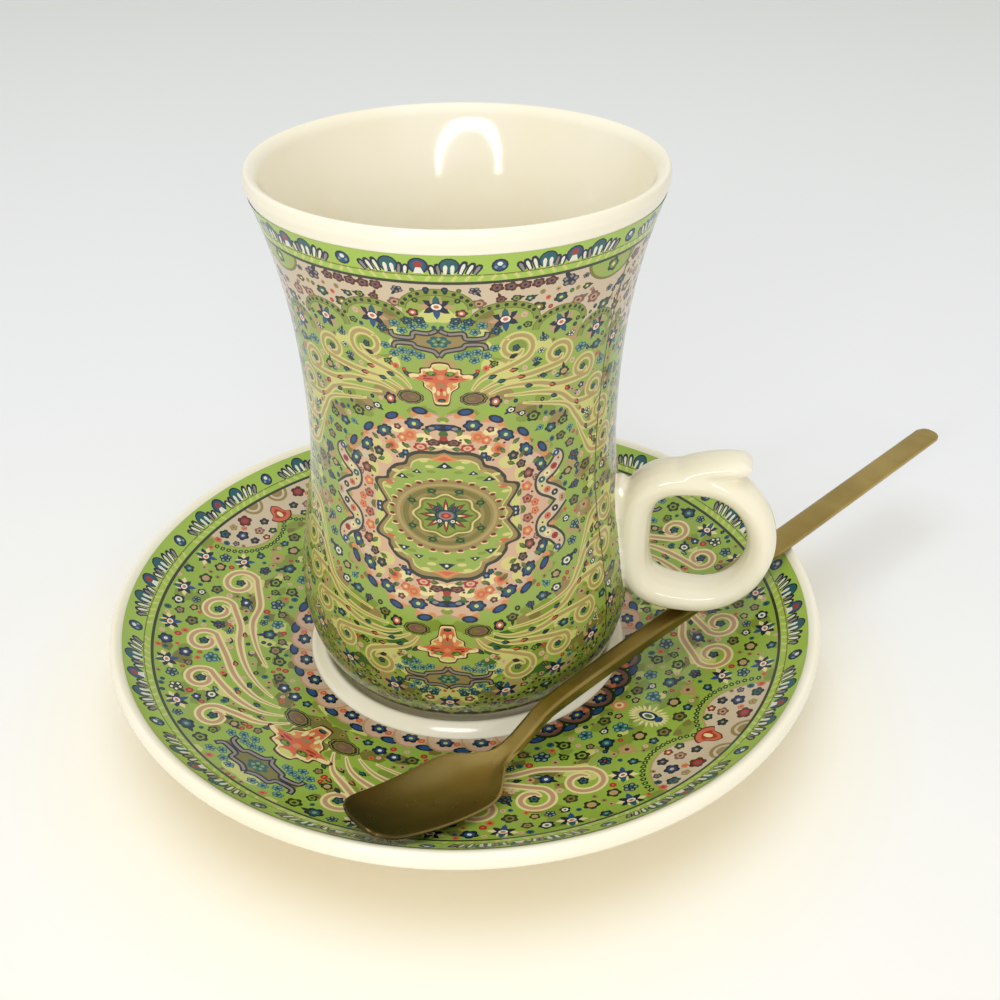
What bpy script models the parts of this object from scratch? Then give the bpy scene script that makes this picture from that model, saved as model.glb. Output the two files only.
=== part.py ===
"""Tulip-shaped tea cup with a looped handle, standing on its saucer with its teaspoon.

Metres, +Z up. The axis of the cup and saucer is Z, the handle points along +X, and the origin
is the centre of the flat recess under the saucer. The saucer stands on the ring below it.
"""
from math import cos, pi, radians, sin, sqrt, tan

import bmesh
import bpy
from mathutils import Vector

MM = 0.001

# Clearance between pieces that touch
GAP = 0.3 * MM

# Saucer
SAUCER_R = 60.0 * MM
SAUCER_RIM_Z = 14.4 * MM
SAUCER_WALL = 3.4 * MM
SAUCER_LIP = 1.7 * MM
SAUCER_LIP_STEP = 0.55 * MM
SAUCER_SLOPE = 0.17
SAUCER_UPTURN = 4.6 * MM
SAUCER_UPTURN_POWER = 6
SEAT_Z = 3.2 * MM
SEAT_R = 23.2 * MM
BEAD_R = 25.3 * MM
BEAD_HEIGHT = 1.7 * MM
WELL_R = 27.4 * MM
SAUCER_FOOT_R = 35.6 * MM
SAUCER_FOOT_WIDTH = 2.2 * MM
SAUCER_FOOT_DEPTH = 1.8 * MM
SAUCER_FOOT_DRAFT = 0.55 * MM
SAUCER_LIP_START = 75
SAUCER_LIP_END = -60

# Cup body, heights from the bottom of its foot
CUP_HEIGHT = 85.0 * MM
CUP_WALL = 2.2 * MM
CUP_RIM_R = 29.9 * MM
CUP_LIP_RISE = 3.0 * MM
CUP_WAIST_R = 24.1 * MM
CUP_WAIST_H = 44.0 * MM
CUP_BELLY_R = 27.45 * MM
CUP_BELLY_H = 14.5 * MM
CUP_FOOT_R = 21.7 * MM
CUP_FOOT_WIDTH = 2.4 * MM
CUP_FOOT_H = 1.5 * MM
CUP_FOOT_BEVEL = 0.48 * MM
CUP_FLOOR_H = 5.0 * MM
CUP_FLOOR_FLAT_R = 13.0 * MM
CUP_FLARE_POWER = 2.4
CUP_FOOT_MEETING = -86

# Handle: a ring pressed against the wall, and a leaf laid over it that ends in a spur
RING_HALF_WIDTH = 10.3 * MM
RING_HALF_HEIGHT = 11.2 * MM
RING_THICK = 4.7 * MM
RING_BREADTH = 7.0 * MM
RING_SINK = 0.8 * MM
RING_LIFT = 1.5 * MM
RING_STEM_POWER = 3.0
RING_STEM_SWELL = 0.25
LEAF_THICK = 3.9 * MM
LEAF_BREADTH = 7.0 * MM
LEAF_CREST = 0.75 * MM
LEAF_ROOT_DROP = 10.4 * MM
LEAF_BEND = 4.7 * MM
LEAF_REACH = 7.4 * MM
LEAF_CROWDING = 1.6
LEAF_TIP_POWER = 22
LEAF_TIP_SHARE = 0.4

# Teaspoon
SPOON_LENGTH = 148.0 * MM
SPOON_HEADING = radians(55.2)
SPOON_CUP_CLEARANCE = 1.6 * MM
SPOON_TIP_INSET = 3.4 * MM
SPOON_TILT_LEAST = radians(-10)
SPOON_TILT_MOST = radians(20)
SPOON_TILT_HALVINGS = 40
BOWL_LENGTH = 28.0 * MM
BOWL_SHOULDER = 19.8 * MM
BOWL_WIDTH = 13.0 * MM
BOWL_TIP_WIDTH = 11.0 * MM
BOWL_CORNER = 4.4 * MM
BOWL_DEPTH = 2.2 * MM
BOWL_FULLNESS = 0.6
BOWL_SKEW = 1.2
BOWL_LIFT = 7.8 * MM
BOWL_GAUGE = 1.0 * MM
NECK_LENGTH = 11.0 * MM
NECK_LEAD = 3.7 * MM
NECK_DROP = 2.7 * MM
STEM_NECK_WIDTH = 2.9 * MM
STEM_WIDTH = 4.7 * MM
STEM_NECK_GAUGE = 2.2 * MM
STEM_GAUGE = 1.3 * MM
STEM_SWELL_START = 52.0 * MM
STEM_SWELL_LENGTH = 42.0 * MM
STEM_END_ROUND = 1.8 * MM
EDGE_SHARE = 0.88
EDGE_DROP = 0.25

# Fineness of the facets
TURN_STEPS = 56
RING_STEPS = 44
LEAF_STEPS = 16
TUBE_SIDES = 5
ARC_STEPS = 6
WALL_STEPS = 8
BEAD_STEPS = 8
DISH_STEPS = 16
SPOON_TIP_STEPS = 5
SPOON_BOWL_STEPS = 16
SPOON_STEM_STEPS = 10
SPOON_END_STEPS = 4
SHARP_ANGLE = radians(40)
WELD = 0.00001

# Places that follow from the sizes
CUP_BASE = SEAT_Z + GAP
LIP_R = CUP_WALL / 2
LIP_H = CUP_HEIGHT - CUP_LIP_RISE
RING_BOTTOM_Z = SAUCER_RIM_Z + RING_LIFT
RING_Z = RING_BOTTOM_Z + RING_THICK / 2 + RING_HALF_HEIGHT
SAUCER_EDGE_R = SAUCER_R - SAUCER_LIP
SPOON_OFFSET = CUP_BELLY_R + SPOON_CUP_CLEARANCE + STEM_NECK_WIDTH / 2

GLAZE = ("ivory_glaze", (0.93, 0.88, 0.74, 1.0), 0.12, 0.0)
DECAL = ("lime_decal", (0.36, 0.46, 0.13, 1.0), 0.14, 0.0)
BRASS = ("antique_brass", (0.34, 0.26, 0.11, 1.0), 0.34, 1.0)


def clear_scene():
    for item in list(bpy.data.objects):
        bpy.data.objects.remove(item, do_unlink=True)


def collection(name):
    made = bpy.data.collections.new(name)
    bpy.context.scene.collection.children.link(made)
    return made


def material(finish):
    name, colour, roughness, metallic = finish
    made = bpy.data.materials.new(name)
    made.use_nodes = True
    shader = made.node_tree.nodes["Principled BSDF"]
    shader.inputs["Base Color"].default_value = colour
    shader.inputs["Roughness"].default_value = roughness
    shader.inputs["Metallic"].default_value = metallic
    return made


def add_object(name, mesh, group, finish=None):
    made = bpy.data.objects.new(name, mesh)
    group.objects.link(made)
    if finish:
        mesh.materials.append(finish)
    return made


def as_cutter(item):
    item.hide_render = True
    item.display_type = "WIRE"
    return item


def smooth(mesh):
    mesh.shade_smooth()
    mesh.set_sharp_from_angle(angle=SHARP_ANGLE)


def ease(t):
    """Half a cosine wave from 0 to 1, held outside that span."""
    t = min(1.0, max(0.0, t))
    return (1 - cos(pi * t)) / 2


def arc(centre, radii, start, end, steps):
    """Points of an elliptical arc in the (radius, height) plane, angles from the outward side."""
    angles = [radians(start + (end - start) * i / steps) for i in range(steps + 1)]
    return [(centre[0] + radii[0] * cos(a), centre[1] + radii[1] * sin(a)) for a in angles]


def turned(name, profile, group, finish=None):
    """A solid of revolution about Z, from a profile that starts and ends on the axis."""
    mesh = bpy.data.meshes.new(name)
    points = [(radius, 0, height) for radius, height in profile]
    mesh.from_pydata(points, [(i, i + 1) for i in range(len(points) - 1)], [])
    made = add_object(name, mesh, group, finish)
    screw = made.modifiers.new("turn", "SCREW")
    screw.steps = TURN_STEPS
    screw.render_steps = TURN_STEPS
    screw.use_merge_vertices = True
    screw.merge_threshold = WELD
    screw.use_smooth_shade = True
    return made


# Cup

def cup_radius(h):
    """Outer radius of the cup at a height above its foot, from the belly up to the lip."""
    if h < CUP_WAIST_H:
        fall = ease((h - CUP_BELLY_H) / (CUP_WAIST_H - CUP_BELLY_H))
        return CUP_BELLY_R + (CUP_WAIST_R - CUP_BELLY_R) * fall
    rise = ((h - CUP_WAIST_H) / (LIP_H - CUP_WAIST_H)) ** CUP_FLARE_POWER
    return CUP_WAIST_R + (CUP_RIM_R - CUP_WAIST_R) * rise


def spaced(low, high, steps):
    return [low + (high - low) * i / steps for i in range(steps + 1)]


def cup_side(grow=0.0):
    """The outer wall from the lip down to the foot, moved out by grow."""
    heights = spaced(LIP_H, CUP_WAIST_H, WALL_STEPS) + spaced(CUP_WAIST_H, CUP_BELLY_H, WALL_STEPS)[1:]
    wall = [(cup_radius(h) + grow, h) for h in heights]
    belly = (CUP_BELLY_R - CUP_FOOT_R, CUP_BELLY_H - CUP_FOOT_H)
    turn_in = arc((CUP_FOOT_R + grow, CUP_BELLY_H), belly, 0, CUP_FOOT_MEETING, WALL_STEPS)
    return wall + turn_in[1:]


def cup_profile():
    centre_r = CUP_RIM_R - LIP_R
    inner_r = CUP_BELLY_R - CUP_WALL
    bowl = (inner_r - CUP_FLOOR_FLAT_R, CUP_BELLY_H - CUP_FLOOR_H)
    floor = [(0, CUP_FLOOR_H)] + arc((CUP_FLOOR_FLAT_R, CUP_BELLY_H), bowl, -90, 0, ARC_STEPS)
    heights = spaced(CUP_BELLY_H, CUP_WAIST_H, WALL_STEPS) + spaced(CUP_WAIST_H, LIP_H, WALL_STEPS)[1:]
    inside = [(cup_radius(h) - CUP_WALL, h) for h in heights[1:]]
    lip = arc((centre_r, LIP_H), (LIP_R, CUP_LIP_RISE), 180, 0, ARC_STEPS)
    foot_in = CUP_FOOT_R - CUP_FOOT_WIDTH
    foot = [
        (CUP_FOOT_R, CUP_FOOT_BEVEL),
        (CUP_FOOT_R - CUP_FOOT_BEVEL, 0),
        (foot_in, 0),
        (foot_in - CUP_FOOT_BEVEL, CUP_FOOT_H),
        (0, CUP_FOOT_H),
    ]
    outline = floor + inside + lip[1:-1] + cup_side() + foot
    return [(r, CUP_BASE + h) for r, h in outline]


# Saucer

def saucer_top(r):
    """Height of the dished upper face, from the edge of the seat to the lip."""
    reach = (r - WELL_R) / (SAUCER_EDGE_R - WELL_R)
    upturn = SAUCER_UPTURN * (max(0.0, reach) ** SAUCER_UPTURN_POWER - 1)
    rise = SAUCER_SLOPE * (r - SAUCER_EDGE_R) + upturn
    return SAUCER_RIM_Z - SAUCER_LIP_STEP + rise


def saucer_profile():
    bead = []
    for side in spaced((SEAT_R - BEAD_R) / (WELL_R - BEAD_R), 1, BEAD_STEPS)[1:]:
        crown = BEAD_HEIGHT * cos(side * pi / 2) ** 2
        bead.append((BEAD_R + (WELL_R - BEAD_R) * side, saucer_top(WELL_R) + crown))
    dish = [(r, saucer_top(r)) for r in spaced(WELL_R, SAUCER_EDGE_R, DISH_STEPS)]
    lip_centre = (SAUCER_EDGE_R, SAUCER_RIM_Z - SAUCER_LIP)
    lip = arc(lip_centre, (SAUCER_LIP, SAUCER_LIP), SAUCER_LIP_START, SAUCER_LIP_END, ARC_STEPS)
    foot_in = SAUCER_FOOT_R - SAUCER_FOOT_WIDTH
    under_radii = spaced(SAUCER_EDGE_R - SAUCER_LIP, SAUCER_FOOT_R, WALL_STEPS)
    under = [(r, saucer_top(r) - SAUCER_WALL) for r in under_radii]
    foot = [
        (SAUCER_FOOT_R - SAUCER_FOOT_DRAFT, -SAUCER_FOOT_DEPTH),
        (foot_in, -SAUCER_FOOT_DEPTH),
        (foot_in - SAUCER_FOOT_DRAFT, 0),
        (0, 0),
    ]
    return [(0, SEAT_Z), (SEAT_R, SEAT_Z)] + bead + dish[1:] + lip + under + foot


# Handle

def ring_path(centre_r):
    """Closed path of the ring, an ellipse whose side against the cup is a thicker, flatter stem."""
    points, radii = [], []
    for i in range(RING_STEPS):
        a = 2 * pi * i / RING_STEPS
        power = 1.0 if cos(a) >= 0 else 2 / RING_STEM_POWER
        across = abs(cos(a)) ** power * (1 if cos(a) >= 0 else -1)
        up = abs(sin(a)) ** power * (1 if sin(a) >= 0 else -1)
        points.append((centre_r + RING_HALF_WIDTH * across, RING_Z + RING_HALF_HEIGHT * up))
        radii.append(1 + RING_STEM_SWELL * (1 - across) / 2)
    return points, radii


def leaf_path(centre_r):
    """Path of the leaf, a bend from the wall over the crown of the ring, and its thickness."""
    crest = RING_Z + RING_HALF_HEIGHT + RING_THICK / 2 + LEAF_CREST
    root = Vector((cup_radius(crest - LEAF_ROOT_DROP - CUP_BASE), crest - LEAF_ROOT_DROP))
    bend = Vector((centre_r - LEAF_BEND, crest))
    tip = Vector((centre_r + LEAF_REACH, crest))
    path = []
    for i in range(LEAF_STEPS + 1):
        t = 1 - (1 - i / LEAF_STEPS) ** LEAF_CROWDING
        point = root * (1 - t) ** 2 + bend * 2 * t * (1 - t) + tip * t ** 2
        path.append((point, max(LEAF_TIP_SHARE, sqrt(1 - t ** LEAF_TIP_POWER))))
    return path


def tube_mesh(name, points, radii, thick, breadth, closed):
    """A tube along points in the XZ plane, flattened to thick by breadth, as a mesh."""
    curve = bpy.data.curves.new(name, "CURVE")
    curve.dimensions = "3D"
    curve.bevel_depth = thick / 2
    curve.bevel_resolution = TUBE_SIDES
    curve.use_fill_caps = not closed
    spline = curve.splines.new("POLY")
    spline.points.add(len(points) - 1)
    spline.use_cyclic_u = closed
    for spot, (r, z), radius in zip(spline.points, points, radii):
        spot.co = (r, 0, z, 1)
        spot.radius = radius
    guide = bpy.data.objects.new(name, curve)
    bpy.context.scene.collection.objects.link(guide)
    view = bpy.context.evaluated_depsgraph_get()
    mesh = bpy.data.meshes.new_from_object(guide.evaluated_get(view))
    bpy.data.objects.remove(guide, do_unlink=True)
    work = bmesh.new()
    work.from_mesh(mesh)
    bmesh.ops.remove_doubles(work, verts=work.verts, dist=WELD)
    bmesh.ops.scale(work, vec=(1, breadth / thick, 1), verts=work.verts)
    bmesh.ops.recalc_face_normals(work, faces=work.faces)
    work.to_mesh(mesh)
    work.free()
    return mesh


def boolean(item, operation, other):
    made = item.modifiers.new(operation.lower(), "BOOLEAN")
    made.operation = operation
    made.object = other


def make_handle(parts, cutters, finish):
    wall = cup_radius(RING_Z - CUP_BASE)
    centre_r = wall + RING_HALF_WIDTH + RING_THICK / 2 - RING_SINK
    points, radii = ring_path(centre_r)
    ring = tube_mesh("cup_handle", points, radii, RING_THICK, RING_BREADTH, True)
    handle = add_object("cup_handle", ring, parts, finish)
    stations = leaf_path(centre_r)
    points = [tuple(point) for point, _ in stations]
    radii = [radius for _, radius in stations]
    leaf_shape = tube_mesh("leaf", points, radii, LEAF_THICK, LEAF_BREADTH, False)
    leaf = as_cutter(add_object("leaf", leaf_shape, cutters))
    side = [(r, CUP_BASE + h) for r, h in cup_side(GAP)]
    solid = [(0, side[0][1])] + side + [(0, side[-1][1])]
    wall_cutter = as_cutter(turned("wall_cutter", solid, cutters))
    boolean(handle, "UNION", leaf)
    boolean(handle, "DIFFERENCE", wall_cutter)
    smooth(ring)
    return handle


# Teaspoon

def stem_share(u):
    """How far the stem has swollen from its neck to its full width, 0 to 1."""
    return ease((u - STEM_SWELL_START) / STEM_SWELL_LENGTH)


def spoon_half_width(u):
    """Half the spoon's width at a distance from its tip."""
    tail = SPOON_LENGTH - u
    if tail < STEM_END_ROUND:
        return STEM_WIDTH / 2 - STEM_END_ROUND + sqrt(STEM_END_ROUND ** 2 - (STEM_END_ROUND - tail) ** 2)
    if u < BOWL_CORNER:
        return BOWL_TIP_WIDTH / 2 - BOWL_CORNER + sqrt(BOWL_CORNER ** 2 - (BOWL_CORNER - u) ** 2)
    swell = STEM_NECK_WIDTH + (STEM_WIDTH - STEM_NECK_WIDTH) * stem_share(u)
    if u < BOWL_SHOULDER:
        grow = (u - BOWL_CORNER) / (BOWL_SHOULDER - BOWL_CORNER)
        return (BOWL_TIP_WIDTH + (BOWL_WIDTH - BOWL_TIP_WIDTH) * sin(grow * pi / 2)) / 2
    draw_in = ease((u - BOWL_SHOULDER) / (BOWL_LENGTH - BOWL_SHOULDER))
    return (BOWL_WIDTH + (swell - BOWL_WIDTH) * draw_in) / 2


def spoon_gauge(u):
    thin = STEM_NECK_GAUGE + (STEM_GAUGE - STEM_NECK_GAUGE) * stem_share(u)
    return BOWL_GAUGE + (thin - BOWL_GAUGE) * ease((u - BOWL_LENGTH + NECK_LEAD) / NECK_LENGTH)


def spoon_top(u, across):
    """Height of the upper face over the stem's underside, across from -1 to 1 of the half width."""
    stem = ease((u - BOWL_LENGTH) / NECK_LENGTH)
    length = min(1.0, u / BOWL_LENGTH)
    rim = spoon_gauge(u) - NECK_DROP * (1 - stem) + BOWL_LIFT * (1 - length) ** 2
    dish = BOWL_DEPTH * sin(pi * length ** BOWL_SKEW) ** BOWL_FULLNESS if 0 < length < 1 else 0.0
    return rim - dish * (1 - across * across)


def spoon_stations():
    tip = [BOWL_CORNER * (1 - cos(a)) for a in spaced(0, pi / 2, SPOON_TIP_STEPS)]
    bowl = spaced(BOWL_CORNER, BOWL_LENGTH + NECK_LENGTH, SPOON_BOWL_STEPS)[1:]
    stem = spaced(BOWL_LENGTH + NECK_LENGTH, SPOON_LENGTH - STEM_END_ROUND, SPOON_STEM_STEPS)[1:]
    end = [SPOON_LENGTH - STEM_END_ROUND * (1 - sin(a)) for a in spaced(0, pi / 2, SPOON_END_STEPS)][1:]
    return tip + bowl + stem + end


def spoon_section(u):
    """Closed outline across the spoon: the upper face from side to side, then the lower face back."""
    half = spoon_half_width(u)
    gauge = spoon_gauge(u)
    ease_edge = gauge * EDGE_DROP
    half_spots = [EDGE_SHARE / 2, EDGE_SHARE, 1]
    spots = [-s for s in reversed(half_spots)] + [0] + half_spots
    top = [(s * half, spoon_top(u, s) - (ease_edge if abs(s) == 1 else 0)) for s in spots]
    under = [(s * half, spoon_top(u, s) - gauge + (ease_edge if abs(s) == 1 else 0)) for s in spots]
    return top + under[::-1]


def spoon_place(u, v, w, tilt):
    """World place of a point of the spoon that leans on the saucer's rim at the given tilt."""
    crossing = sqrt(SAUCER_EDGE_R ** 2 - SPOON_OFFSET ** 2)
    start = -sqrt((SAUCER_R - SPOON_TIP_INSET) ** 2 - SPOON_OFFSET ** 2)
    along = start + u
    height = SAUCER_RIM_Z + GAP + (along - crossing) * tan(tilt) + w
    aim = Vector((cos(SPOON_HEADING), sin(SPOON_HEADING), 0))
    side = Vector((sin(SPOON_HEADING), -cos(SPOON_HEADING), 0))
    return aim * along + side * (SPOON_OFFSET + v) + Vector((0, 0, height))


def spoon_tilt():
    """The tilt at which the bowl lies on the saucer, found by halving."""
    low, high = SPOON_TILT_LEAST, SPOON_TILT_MOST
    bowl = [u for u in spoon_stations() if u <= BOWL_LENGTH]
    for _ in range(SPOON_TILT_HALVINGS):
        tilt = (low + high) / 2
        room = []
        for u in bowl:
            section = spoon_section(u)
            for v, w in section[len(section) // 2:]:
                spot = spoon_place(u, v, w, tilt)
                reach = min(max(sqrt(spot.x ** 2 + spot.y ** 2), WELL_R), SAUCER_EDGE_R)
                room.append(spot.z - saucer_top(reach))
        if min(room) > GAP:
            low = tilt
        else:
            high = tilt
    return low


def make_spoon(parts, finish):
    tilt = spoon_tilt()
    work = bmesh.new()
    loops = []
    for u in spoon_stations():
        loops.append([work.verts.new(spoon_place(u, v, w, tilt)) for v, w in spoon_section(u)])
    for loop, following in zip(loops, loops[1:]):
        for i in range(len(loop)):
            j = (i + 1) % len(loop)
            work.faces.new((loop[i], loop[j], following[j], following[i]))
    work.faces.new(loops[0][::-1])
    work.faces.new(loops[-1])
    bmesh.ops.recalc_face_normals(work, faces=work.faces)
    mesh = bpy.data.meshes.new("teaspoon")
    work.to_mesh(mesh)
    work.free()
    smooth(mesh)
    return add_object("teaspoon", mesh, parts, finish)


def main():
    clear_scene()
    parts = collection("tea_cup")
    cutters = collection("tea_cup_cutters")
    glaze = material(GLAZE)
    decal = material(DECAL)
    turned("saucer", saucer_profile(), parts, decal)
    turned("cup_body", cup_profile(), parts, decal)
    make_handle(parts, cutters, glaze)
    make_spoon(parts, material(BRASS))


main()
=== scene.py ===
"""Looks of a tulip tea cup on its saucer with a teaspoon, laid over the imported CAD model.

The porcelain is turned again at a finer grain. The printed carpet ornament is a film of flat ink
shapes on the cup's outer wall and on the saucer's upper face: each film is drawn as one quarter
of a sheet, cut into triangles and mirrored round the piece. The camera, the floor and the lamps
follow the photograph. Lengths are in millimetres until a mesh is made.
"""
import random
from bisect import bisect
from math import atan2, ceil, cos, hypot, pi, radians, sin, sqrt

import bmesh
import bpy
from mathutils import Matrix, Vector
from mathutils.geometry import delaunay_2d_cdt

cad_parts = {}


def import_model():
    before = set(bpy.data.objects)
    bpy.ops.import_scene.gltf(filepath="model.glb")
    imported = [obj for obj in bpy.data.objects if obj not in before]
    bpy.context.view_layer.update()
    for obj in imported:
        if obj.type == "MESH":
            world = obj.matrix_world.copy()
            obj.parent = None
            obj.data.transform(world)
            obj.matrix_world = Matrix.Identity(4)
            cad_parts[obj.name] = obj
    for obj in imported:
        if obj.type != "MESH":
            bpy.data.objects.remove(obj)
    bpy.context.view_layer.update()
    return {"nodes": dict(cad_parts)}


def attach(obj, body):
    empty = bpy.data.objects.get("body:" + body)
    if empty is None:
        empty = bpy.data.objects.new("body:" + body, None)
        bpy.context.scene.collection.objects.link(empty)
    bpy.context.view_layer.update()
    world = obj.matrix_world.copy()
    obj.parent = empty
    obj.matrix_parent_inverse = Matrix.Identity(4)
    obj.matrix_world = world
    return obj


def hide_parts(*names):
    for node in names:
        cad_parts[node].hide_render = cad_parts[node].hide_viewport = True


MM = 0.001

# Saucer: the sizes of the CAD model, with a rounder rim
SAUCER_R = 60.0
SAUCER_TRIM = 0.02
SAUCER_RIM_Z = 14.4
SAUCER_WALL = 3.4
SAUCER_LIP = 1.7
SAUCER_LIP_STEP = 0.55
SAUCER_SLOPE = 0.17
SAUCER_UPTURN = 4.6
SAUCER_UPTURN_POWER = 6
SAUCER_EDGE_R = SAUCER_R - SAUCER_LIP
SAUCER_CREST_R = 59.2
SAUCER_CREST_DROP = 0.15
SEAT_Z = 3.2
SEAT_R = 23.2
BEAD_R = 25.3
BEAD_HEIGHT = 1.7
WELL_R = 27.4
SAUCER_FOOT_R = 35.6
SAUCER_FOOT_WIDTH = 2.2
SAUCER_FOOT_DEPTH = 1.8
SAUCER_FOOT_DRAFT = 0.55
SAUCER_LIP_END = -60

# Cup: the sizes of the CAD model, with a rounder lip, and heights from the bottom of its foot
CUP_BASE = 3.5
CUP_HEIGHT = 85.0
CUP_WALL = 2.2
CUP_RIM_R = 29.95
CUP_WAIST_R = 24.1
CUP_WAIST_H = 44.0
CUP_BELLY_R = 27.45
CUP_BELLY_H = 14.5
CUP_FOOT_R = 21.7
CUP_FOOT_WIDTH = 2.4
CUP_FOOT_H = 1.5
CUP_FOOT_BEVEL = 0.48
CUP_FOOT_MEETING = -86
CUP_FLOOR_H = 5.0
CUP_FLOOR_FLAT_R = 13.0
CUP_FLARE_POWER = 2.4
LIP_R = CUP_WALL / 2
LIP_RISE = 1.6
LIP_H = CUP_HEIGHT - LIP_RISE
LIP_FLARE = CUP_FLARE_POWER * (CUP_RIM_R - CUP_WAIST_R) / (LIP_H - CUP_WAIST_H)

# Fineness of the turned porcelain
TURN_STEPS = 192
WALL_STEPS = 48
ARC_STEPS = 14
SHARP_EDGE = radians(50)

# Handle: the slip of wall that it melts into, the clay between ring and wall, and the end of its spur
PATCH_LOW = 10
PATCH_HIGH = 48
PATCH_TURN = 0.24
PATCH_DEPTHS = (1.6, 0.12)
PATCH_ROWS = 24
PATCH_COLUMNS = 12
SLIP_H = 26.6
SLIP_OUT = 0.7
SLIP_LEAN = radians(-8.6)
SLIP_HALF = (2.1, 3.6, 9.8)
SPUR_END = (44.4, 0.0, 43.9)
SPUR_LEAN = radians(40)
SPUR_BLOCK = (2.2, 4.6, 1.8)
MELT_GRAIN = 0.3
MELT_SOFTNESS = 0.5
MELT_ROUNDS = 14

# Spoon: its sharp rims, the way it lies, and the painted shade that darkens its brass at the bowl's tip and
# on the lower stem, standing in for dark reflections
SPOON_CREASE = radians(40)
SPOON_BEVEL = 0.25
SPOON_MERGE = 0.01
SPOON_FLAT = radians(30)
SPOON_SKEW = radians(60)
SPOON_FINENESS = 3
SPOON_HEADING = radians(55.2)
# Painted shade for dark reflections on the spoon runs from the bowl's tip to this end; each step gives a
# share of that length and the grey that the brass is multiplied by
SPOON_TIP = -46.0
SPOON_SHADE_END = 60.0
SPOON_PAINTED_SHADE = ((0.0, 137), (0.25, 255), (0.52, 212), (0.9, 255))

# Printed films: places round the piece by arc length, and up the cup's wall from the medallion's middle
FILM_LIFT = 0.07
BORDER_LIFT = 0.08
BORDER_LAP = 0.15
FILM_GRID = 1.7
FILM_WELD = 0.002
CUP_SEED = 7
SAUCER_SEED = 11
SEAM_SEED = 3
CUP_REACH = 26.0
CUP_AXIS = radians(-82.5)
MEDALLION_H = 40.7
CUP_FIELD_TOP = 37.2
CUP_PRINT_TOP = 41.5
CUP_BORDER_REPEATS = 9
CUP_BORDER_TURN = CUP_AXIS - 1.7 / CUP_REACH
CUP_LOW_END = 41.0
CUP_SQUASH = 0.76
SEAM_WIDTH = 0.32
SEAM_PLACE = CUP_AXIS + 27.2 / CUP_REACH
SAUCER_SQUASH = 0.88
SAUCER_REACH = 46.0
SAUCER_AXIS = radians(-117.5)
SAUCER_FIELD_TOP = 53.6
SAUCER_PRINT_TOP = 58.0
SAUCER_BORDER_REPEATS = 14
SAUCER_BORDER_TURN = radians(-120.8)

# Printing inks, as display colours
INKS = {
    "lime": (150, 173, 80),
    "bright_lime": (150, 178, 70),
    "fresh_lime": (164, 195, 82),
    "leaf_lime": (130, 150, 58),
    "pale_lime": (204, 205, 122),
    "straw": (212, 203, 130),
    "sand": (174, 154, 96),
    "khaki": (152, 132, 82),
    "olive": (122, 116, 54),
    "cream": (232, 217, 160),
    "tan": (190, 152, 116),
    "pink": (212, 176, 148),
    "blush": (208, 190, 164),
    "coral": (206, 104, 72),
    "orange": (214, 142, 88),
    "red": (168, 50, 44),
    "maroon": (84, 40, 32),
    "mauve": (126, 88, 80),
    "navy": (25, 36, 56),
    "blue": (38, 76, 126),
    "teal": (36, 94, 100),
    "sky": (124, 160, 152),
    "green": (66, 104, 42),
    "dark_green": (36, 48, 24),
    "slate": (56, 58, 46),
    "lilac": (146, 134, 130),
    "white": (232, 228, 212),
}


def linear(channel):
    """A display channel of 0 to 255 as linear light."""
    value = channel / 255
    return value / 12.92 if value <= 0.04045 else ((value + 0.055) / 1.055) ** 2.4


def colour(display):
    return (*(linear(channel) for channel in display), 1.0)


def ease(t):
    """Half a cosine wave from 0 to 1, held outside that span."""
    return (1 - cos(pi * min(1.0, max(0.0, t)))) / 2


def spaced(low, high, steps):
    """Evenly spaced values from low to high, both included."""
    return [low + (high - low) * i / steps for i in range(steps + 1)]


def turns(start, count):
    """Angles evenly spaced round a full turn."""
    return [start + 2 * pi * i / count for i in range(count)]


def arc(centre, radii, start, end, steps=ARC_STEPS):
    """Points of an elliptical arc, angles in degrees from the outward side."""
    angles = [radians(a) for a in spaced(start, end, steps)]
    return [(centre[0] + radii[0] * cos(a), centre[1] + radii[1] * sin(a)) for a in angles]


def bend(start, corner, end):
    """Points of a smooth bend from start to end, both in line with the corner."""
    return [
        tuple((1 - t) ** 2 * a + 2 * t * (1 - t) * b + t * t * c for a, b, c in zip(start, corner, end))
        for t in spaced(0, 1, ARC_STEPS)
    ]


# Turned shapes

def cup_radius(h):
    """Outer radius of the cup at a height above its foot, up to the lip."""
    if h < CUP_BELLY_H:
        drop = (CUP_BELLY_H - h) / (CUP_BELLY_H - CUP_FOOT_H)
        return CUP_FOOT_R + (CUP_BELLY_R - CUP_FOOT_R) * sqrt(1 - drop ** 2)
    if h < CUP_WAIST_H:
        fall = ease((h - CUP_BELLY_H) / (CUP_WAIST_H - CUP_BELLY_H))
        return CUP_BELLY_R + (CUP_WAIST_R - CUP_BELLY_R) * fall
    rise = ((h - CUP_WAIST_H) / (LIP_H - CUP_WAIST_H)) ** CUP_FLARE_POWER
    return CUP_WAIST_R + (CUP_RIM_R - CUP_WAIST_R) * rise


def cup_side():
    """The outer wall from the foot up to the lip."""
    belly = (CUP_BELLY_R - CUP_FOOT_R, CUP_BELLY_H - CUP_FOOT_H)
    turn_out = arc((CUP_FOOT_R, CUP_BELLY_H), belly, CUP_FOOT_MEETING, 0, WALL_STEPS)
    wall = [(cup_radius(h), h) for h in spaced(CUP_BELLY_H, LIP_H, 3 * WALL_STEPS)]
    return [(r, CUP_BASE + h) for r, h in turn_out + wall[1:]]


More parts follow.
